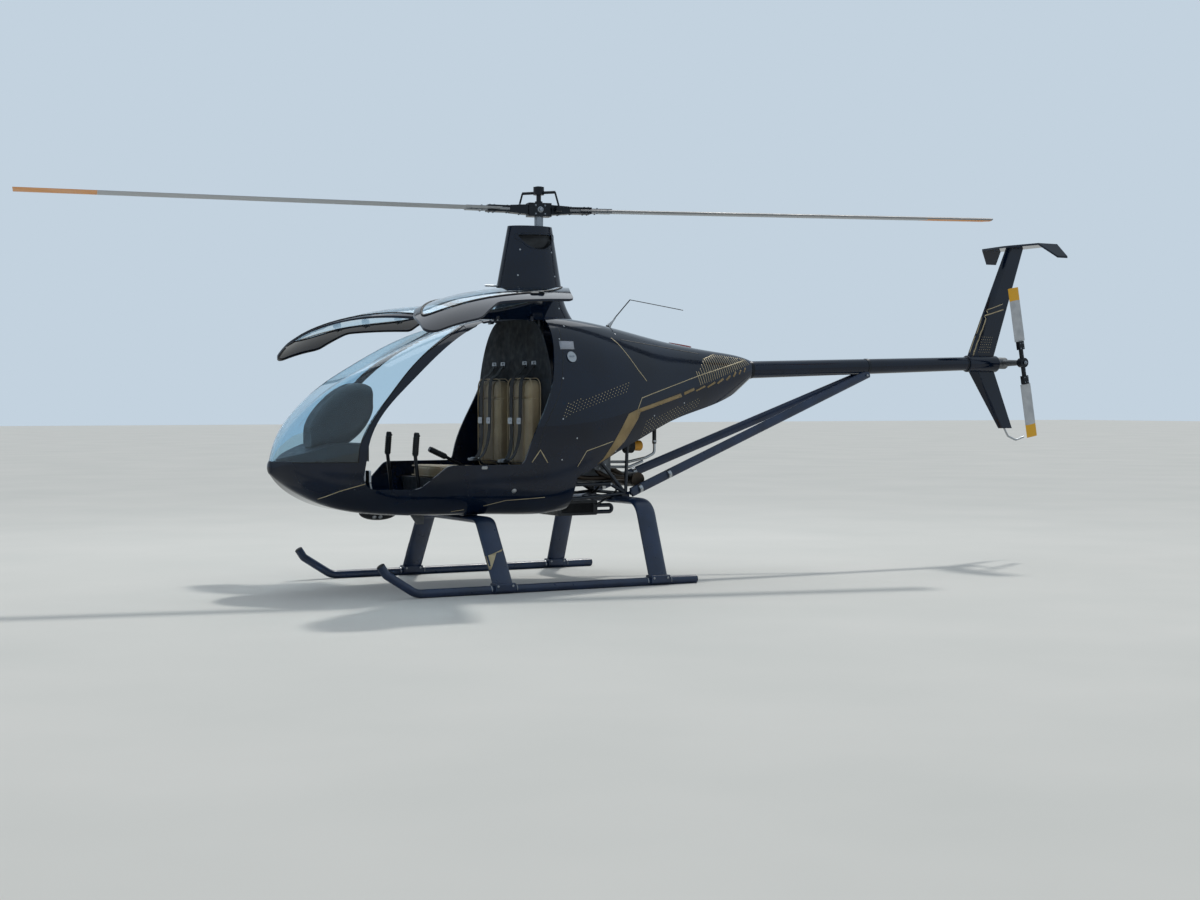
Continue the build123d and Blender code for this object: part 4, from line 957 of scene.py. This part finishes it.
for x in (0.115, 0.24, 0.365):
    for side in SIDES:
        bright.bolt((x, side * 0.05, 0.925), UPWARD, 0.0045)
black.turned((0.24, 0, 0.924), UPWARD, [(0, 0.04), (0.018, 0.04), (0.022, 0.034)], 32)
# Fins in the radiator's near opening
for step in range(30):
    black.slab([(-0.0012, -0.027), (0.0012, -0.027), (0.0012, 0.027), (-0.0012, 0.027)], 0.008,
               facing((0.083 + 0.0072 * step, -0.159, 0.45), (0, -1, 0)))
# Engine frame: gusset bolts at its joints
for x, z in ((0.06, 0.508), (0.395, 0.6), (0.517, 0.852), (0.32, 0.745), (0.06, 0.6)):
    for side in SIDES:
        bright.bolt((x, side * 0.2262, z), (0, side, 0), 0.0055)
leads.make("plug_leads", rubber, "black_part")
oil_lines.make("oil_lines", hose_rubber, "black_part")
hot.make("exhaust_headers", heat_steel, "frame_dark")
bright.make("engine_bright_parts", alloy, "bare_metal", angle=30)
black.make("engine_black_parts", black_abs, "black_part", angle=30)

# Air filter's pleats and its clamp
pleats = Batch()
folds = [(0.003 * k, 0.0452 + (0.0016 if k % 2 else 0)) for k in range(17)]
pleats.turned((0.53, -0.168, 0.838), AFT, folds, 32)
clamp_band(pleats, (0.534, -0.168, 0.838), AFT, 0.0465)
pleats.make("filter_pleats", rubber, "black_part")

# Brace ends: clamp collars and cross bolts
collars = Batch()
for side in SIDES:
    low, high = Vector((0.527, side * 0.25, 0.545)), Vector((2.56, side * 0.025, 1.313))
    run = (high - low).normalized()
    for along in (0.055, 0.3):
        collars.turned(low + run * along, run,
                       [(0, 0.0262), (0.001, 0.0285), (0.024, 0.0285), (0.025, 0.0262)], 28)
        collars.bolt(low + run * (along + 0.012) + Vector((0, side * 0.0275, 0)), (0, side, 0), 0.0055)
    collars.bolt(high - run * 0.03 + Vector((0, side * 0.022, 0)), (0, side, 0), 0.006)
collars.make("brace_collars", alloy, "bare_metal")

# Landing gear: half saddles over the skids, bolts through the leg feet, plugs in the tube ends
saddles, plugs = Batch(), Batch()
SKID_Y, SKID_R = 0.677, 0.025
for side in SIDES:
    for x in (-0.581, 0.47):
        for step in (-0.048, 0.048):
            saddles.bolt((x + step, side * (SKID_Y + SKID_R + 0.011), 0.046), (0, side, 0), 0.0055)
            saddles.bolt((x + step, side * (SKID_Y - SKID_R - 0.011), 0.046), (0, -side, 0), 0.0055)
        for step in (-0.082, 0.082):
            arc = [math.radians(-15 + 15 * k) for k in range(15)]
            ring = [(x + step, side * SKID_Y + 0.0262 * math.cos(t), SKID_R + 0.0262 * math.sin(t))
                    for t in arc]
            saddles.tube(ring, 0.0024, 6)
    plugs.turned((0.7398, side * SKID_Y, SKID_R), AFT, [(0, 0.0235), (0.003, 0.0235), (0.005, 0.02)], 28)
    toe = Vector((-0.034, 0, 0.051)).normalized()
    plugs.turned(Vector((-1.346, side * SKID_Y, 0.192)) - toe * 0.001, toe,
                 [(0, 0.0235), (0.003, 0.0235), (0.005, 0.02)], 28)
saddles.make("skid_saddles", alloy, "bare_metal")
plugs.make("skid_end_plugs", rubber, "black_part")


# Rotor heads
def dropped(tree, point, way):
    """Where a line from the point meets the surface, and the surface's normal there."""
    hit, normal, _, _ = tree.ray_cast(Vector(point), Vector(way).normalized())
    if hit is None:
        hit, normal, _, _ = tree.find_nearest(Vector(point))
    return hit, normal if normal.dot(Vector(way)) < 0 else -normal


def bolt_down(batch, tree, point, way, size):
    """A bolt where a line from the point meets the surface."""
    hit, normal = dropped(tree, point, way)
    batch.bolt(hit - normal * 0.0004, normal, size)


head_tree = skin_tree(["rotor_hub", "blade_grips", "main_rotor_blades"])
out = Vector((math.cos(ROTOR_TURN), math.sin(ROTOR_TURN), 0))
chord_way = Vector((-out.y, out.x, 0))
head_bolts = Batch()
for side in SIDES:
    for reach, spans in ((0.125, (-0.02, 0.02)), (0.205, (-0.018, 0.018)), (0.29, (-0.022, 0.022)),
                         (0.318, (-0.022, 0.022)), (0.372, (-0.03, 0.03)), (0.405, (-0.036, 0.036)),
                         (0.44, (-0.042, 0.042))):
        for span in spans:
            spot = out * (side * reach) + chord_way * span
            for way in (-1, 1):
                start = spot + Vector((0, 0, BLADE_Z - way * 0.4))
                bolt_down(head_bolts, head_tree, start, (0, 0, way), 0.0052)
    hit, normal = dropped(head_tree, chord_way * side * 0.5 + Vector((0, 0, BLADE_Z)), chord_way * -side)
    head_bolts.turned(hit, chord_way * side, [(0, 0.019), (0.004, 0.019), (0.005, 0.017)], 24)
    head_bolts.turned(hit + chord_way * side * 0.004, chord_way * side,
                      [(0, 0.0125), (0.012, 0.0125), (0.014, 0.011)], 6)
    for off in (-0.03, 0.03):
        for rise in (-0.026, 0.026):
            point = chord_way * side * 0.5 + out * off + Vector((0, 0, BLADE_Z + rise))
            bolt_down(head_bolts, head_tree, point, chord_way * -side, 0.0045)
head_bolts.turned((0, 0, 2.4615), UPWARD, [(0, 0.022), (0.004, 0.021), (0.006, 0.012)], 24)
head_bolts.make("rotor_head_bolts", steel, "bare_metal", "main_rotor")

# The blades' root ends, between the fork plates of the grips
PRECONE = math.radians(0.5)
root_ends = Batch()
for side in SIDES:
    reach_way = out * (side * math.cos(PRECONE)) + Vector(UPWARD) * math.sin(PRECONE)
    root_place = facing(Vector((0, 0, BLADE_Z)) + reach_way * 0.227, reach_way)
    root_ends.plate(0.078, 0.0215, 0.009, 0.068, root_place)
root_ends.make("blade_root_ends", blade_paint, "blade_grey", "main_rotor", 0.001)

tail_tree = skin_tree(["tail_rotor_hub", "tail_rotor_blades"])
tail_bolts = Batch()
blade_way = Vector((-math.sin(TAIL_LEAN), 0, math.cos(TAIL_LEAN)))
cross_way = Vector((blade_way.z, 0, -blade_way.x))
for side in SIDES:
    for reach, spans in ((0.062, (0,)), (0.105, (-0.012, 0.012)), (0.14, (-0.012, 0.012))):
        for span in spans:
            for way in (-1, 1):
                spot = TAIL_HUB + blade_way * (side * reach) + cross_way * span - Vector((0, way * 0.3, 0))
                bolt_down(tail_bolts, tail_tree, spot, (0, way, 0), 0.0038)
hit, normal = dropped(tail_tree, TAIL_HUB - Vector((0, 0.4, 0)), (0, 1, 0))
tail_bolts.turned(hit, (0, -1, 0), [(-0.001, 0.013), (0.004, 0.013), (0.006, 0.008), (0.014, 0.007)], 18)
tail_bolts.make("tail_rotor_bolts", steel, "bare_metal", "tail_rotor")

# Small things on the skin: rounded nose tip, lamp lenses, antenna foot, boom bands, fin rivets
tip = Batch()
NOSE = Vector((-1.76, 0, 0.734))
rings = []
for step in range(7):
    angle = math.radians(90 * step / 6.5)
    centre = NOSE - AFT * 0.013 * math.sin(angle)
    rings.append(circle(centre, Vector((0, 0.0362, 0)), Vector((0, 0, 0.0402)), math.cos(angle), 32))
tip.cover(rings)
tip.make("nose_tip", navy, "hull_paint", angle=60)

lamp_tree = skin_tree(["belly_lamp"])
rims, lenses = Batch(), Batch()
for side in SIDES:
    for x in (-1.124, -1.086):
        hit, normal = dropped(lamp_tree, (x, side * 0.3, 0.428), (0, -side, 0))
        rims.turned(hit - normal * 0.002, normal,
                    [(0, 0.0135), (0.004, 0.0135), (0.004, 0.0108), (0.002, 0.0105)], 24)
        lenses.turned(hit + normal * 0.0005, normal, [(0, 0.0105), (0.001, 0.01), (0.0026, 0.006)], 24)
rims.make("lamp_rims", alloy, "bare_metal")
lenses.make("lamp_lenses", clear_lens, "tinted_glass")

feet = Batch()
whip = Vector((0.162, 0, 0.172)).normalized()
feet.turned(Vector((0.47, -0.05, 1.596)), whip,
            [(0, 0.0145), (0.006, 0.015), (0.05, 0.007), (0.078, 0.0048)], 20)
feet.turned((0.47, -0.05, 1.58), UPWARD, [(0, 0.024), (0.01, 0.022), (0.014, 0.016)], 24)
feet.turned((1.02, -0.05, 1.7166), (0.39, 0, -0.056),
            [(-0.004, 0.0026), (0.004, 0.004), (0.012, 0.0026)], 12)
feet.make("antenna_foot", alloy, "bare_metal")

BOOM_START, BOOM_END = Vector((1.56, 0, 1.331)), Vector((3.453, 0, 1.392))
boom_run = (BOOM_END - BOOM_START).normalized()
bands, rivets = Batch(), Batch()
for along, radius in ((0.01, 0.058), (0.985, 0.0529), (1.88, 0.0481)):
    base = BOOM_START + boom_run * along
    outer = radius + 0.0022
    bands.turned(base, boom_run, [(0, radius), (0.001, outer), (0.022, outer), (0.023, radius)], 40)
for side in SIDES:
    for step in range(18):
        along = 0.06 + 0.105 * step
        radius = 0.058 - 0.0053 * along
        base = BOOM_START + boom_run * along + Vector((0, 0, -0.02))
        y = math.sqrt(radius ** 2 - 0.02 ** 2)
        rivets.turned(base + Vector((0, side * (y - 0.0006), 0)), (0, side, -0.4),
                      [(0, 0.0034), (0.0012, 0.003), (0.0018, 0.0016)], 10)
for tree, low, high in ((fin_tree, (3.56, 1.52), (3.84, 2.18)),
                        (skin_tree(["lower_fin"]), (3.61, 1.28), (3.79, 0.98))):
    for side in SIDES:
        for step in range(11):
            x = low[0] + (high[0] - low[0]) * step / 10
            z = low[1] + (high[1] - low[1]) * step / 10
            button(rivets, tree, x, z, side, [(0, 0.0032), (0.001, 0.0028), (0.0016, 0.0014)], 10)
bands.make("boom_bands", satin_black, "frame_dark")
rivets.make("tail_rivets", satin_black, "frame_dark")

# Fairing screws and the raised beads round its scoops
screws = Batch()
for side in SIDES:
    for x, z in ((-0.205, 1.7), (-0.19, 1.9), (-0.17, 2.06), (0.09, 1.7), (0.07, 1.9), (0.05, 2.05)):
        button(screws, fairing_tree, x, z, side, [(0, 0.0055), (0.0014, 0.0052), (0.0022, 0.003)])
screws.make("fairing_screws", alloy, "bare_metal")
SCOOP = [(-0.178, 2.152), (0.059, 2.16), (0.056, 2.118), (0.012, 2.076), (-0.088, 2.074), (-0.15, 2.112)]
DUCT_BACK = 0.045
scoop_beads, scoop_ducts = Batch(), Batch()
for side in SIDES:
    mouth = flat_curve(SCOOP, 5, True)
    ring = []
    for x, z in mouth:
        over, rise = 0.006 if x > -0.05 else -0.006, 0.006 if z > 2.14 else -0.006
        ring.append(on_skin(fairing_tree, x + over, z + rise, side)[0])
    scoop_beads.tube(ring, 0.003, 8, closed=True)
    # Each duct narrows from the scoop's mouth to a closed back plate that stands clear of the mast
    outer = [Vector((x, point.y - side * 0.006, z)) for point, (x, z) in zip(ring, mouth)]
    inner = [Vector((-0.055 + (x + 0.055) * 0.85, side * DUCT_BACK, 2.118 + (z - 2.118) * 0.85))
             for x, z in mouth]
    count = len(mouth)
    walls = [(i, (i + 1) % count, count + (i + 1) % count, count + i) for i in range(count)]
    scoop_ducts.add(outer + inner, walls + [tuple(range(count, 2 * count))])
scoop_beads.make("scoop_beads", navy, "hull_paint")
scoop_ducts.make("scoop_ducts", black_abs, "black_part")

# The dark joint line down the cowling's front edge, and a dark line of painted shade along the roof's
# shoulder crease
joint_and_crease_shade_lines = Batch()
for side in SIDES:
    # The first route is painted shade along the shoulder crease; the second is the joint line
    for route in ([(0.418, 1.506), (0.673, 1.478), (0.93, 1.448), (1.099, 1.428)],
                  [(-0.04, 1.56), (-0.075, 1.37), (-0.128, 1.17), (-0.24, 0.96), (-0.29, 0.8)]):
        ribbon(joint_and_crease_shade_lines, hull_tree, [tuple(p) for p in flat_curve(route, 5)], 0.0045, side, 0.0003)
film(joint_and_crease_shade_lines, "cowling_joints_and_crease_shade", rubber, slot="black_part")

# Fuel cap: ribbed rim and a folding tab
cap = Batch()
point, normal = on_skin(hull_tree, -0.01, 1.39, -1, 0.004)
side_way = normal.orthogonal().normalized()
for spot in circle(point, side_way, normal.cross(side_way), 0.0285, 24):
    cap.turned(spot - normal * 0.001, normal, [(0, 0.0022), (0.003, 0.002)], 8)
cap.plate(0.036, 0.012, 0.005, 0.004, facing(point + normal * 0.003, normal))
cap.make("fuel_cap_trim", steel, "bare_metal", bevel=0.0006)

# Stage, camera and light
def looking(way):
    """The turn that points a lamp or a camera along a way."""
    return Vector(way).to_track_quat("-Z", "Y").to_euler()


bpy.ops.mesh.primitive_plane_add(size=160)
floor = bpy.context.object
floor.name = "studio_floor"
floor_finish, floor_tree, floor_shader, floor_place = finish("pale_studio_floor", 0.85)
floor_colour = two_tone(floor_tree, mottle(floor_tree, floor_place, 1.5, 3), "#cfd2cf", "#d6d8d5")
floor_tree.links.new(floor_colour, floor_shader.inputs["Base Color"])
floor.data.materials.append(floor_finish)

world = bpy.data.worlds.new("studio_world")
bpy.context.scene.world = world
world.use_nodes = True
sky = world.node_tree
sky.nodes.clear()
ray = add_node(sky, "LightPath").outputs
seen = ray["Is Camera Ray"]
for other in ("Is Glossy Ray", "Is Transmission Ray"):
    seen = add_node(sky, "Math", {0: seen, 1: ray[other]}, operation="MAXIMUM").outputs[0]
soft = add_node(sky, "Background", {"Color": srgb("#e6ecf4"), "Strength": 0.5})
backdrop = add_node(sky, "Background", {"Color": srgb("#c3d2df"), "Strength": 1.0})
both = add_node(sky, "MixShader", {0: seen, 1: soft.outputs[0], 2: backdrop.outputs[0]})
add_node(sky, "OutputWorld", {"Surface": both.outputs[0]})

sun = bpy.data.lights.new("key_lamp", "SUN")
sun.energy = 1.4
sun.angle = math.radians(4)
sun.color = (1.0, 0.96, 0.9)
key = new_object("key_lamp", sun)
key.rotation_euler = looking((-0.45, -0.35, -0.82))

overhead = bpy.data.lights.new("overhead_softbox", "AREA")
overhead.energy = 110
overhead.size = 6
top = new_object("overhead_softbox", overhead)
top.location = (0.8, 2.4, 6.5)
top.rotation_euler = looking(Vector((0, 0, 1.2)) - Vector(top.location))

lens = bpy.data.cameras.new("photo_camera")
lens.lens = LENS_MM
lens.sensor_width = 36.0
lens.sensor_fit = "HORIZONTAL"
lens.clip_end = 400
camera = new_object("photo_camera", lens)
camera.location = EYE
look_x, look_y = math.sin(EYE_YAW) * math.cos(EYE_DIP), math.cos(EYE_YAW) * math.cos(EYE_DIP)
camera.rotation_euler = looking((look_x, look_y, -math.sin(EYE_DIP)))
bpy.context.scene.camera = camera
bpy.context.scene.view_settings.view_transform = "Standard"
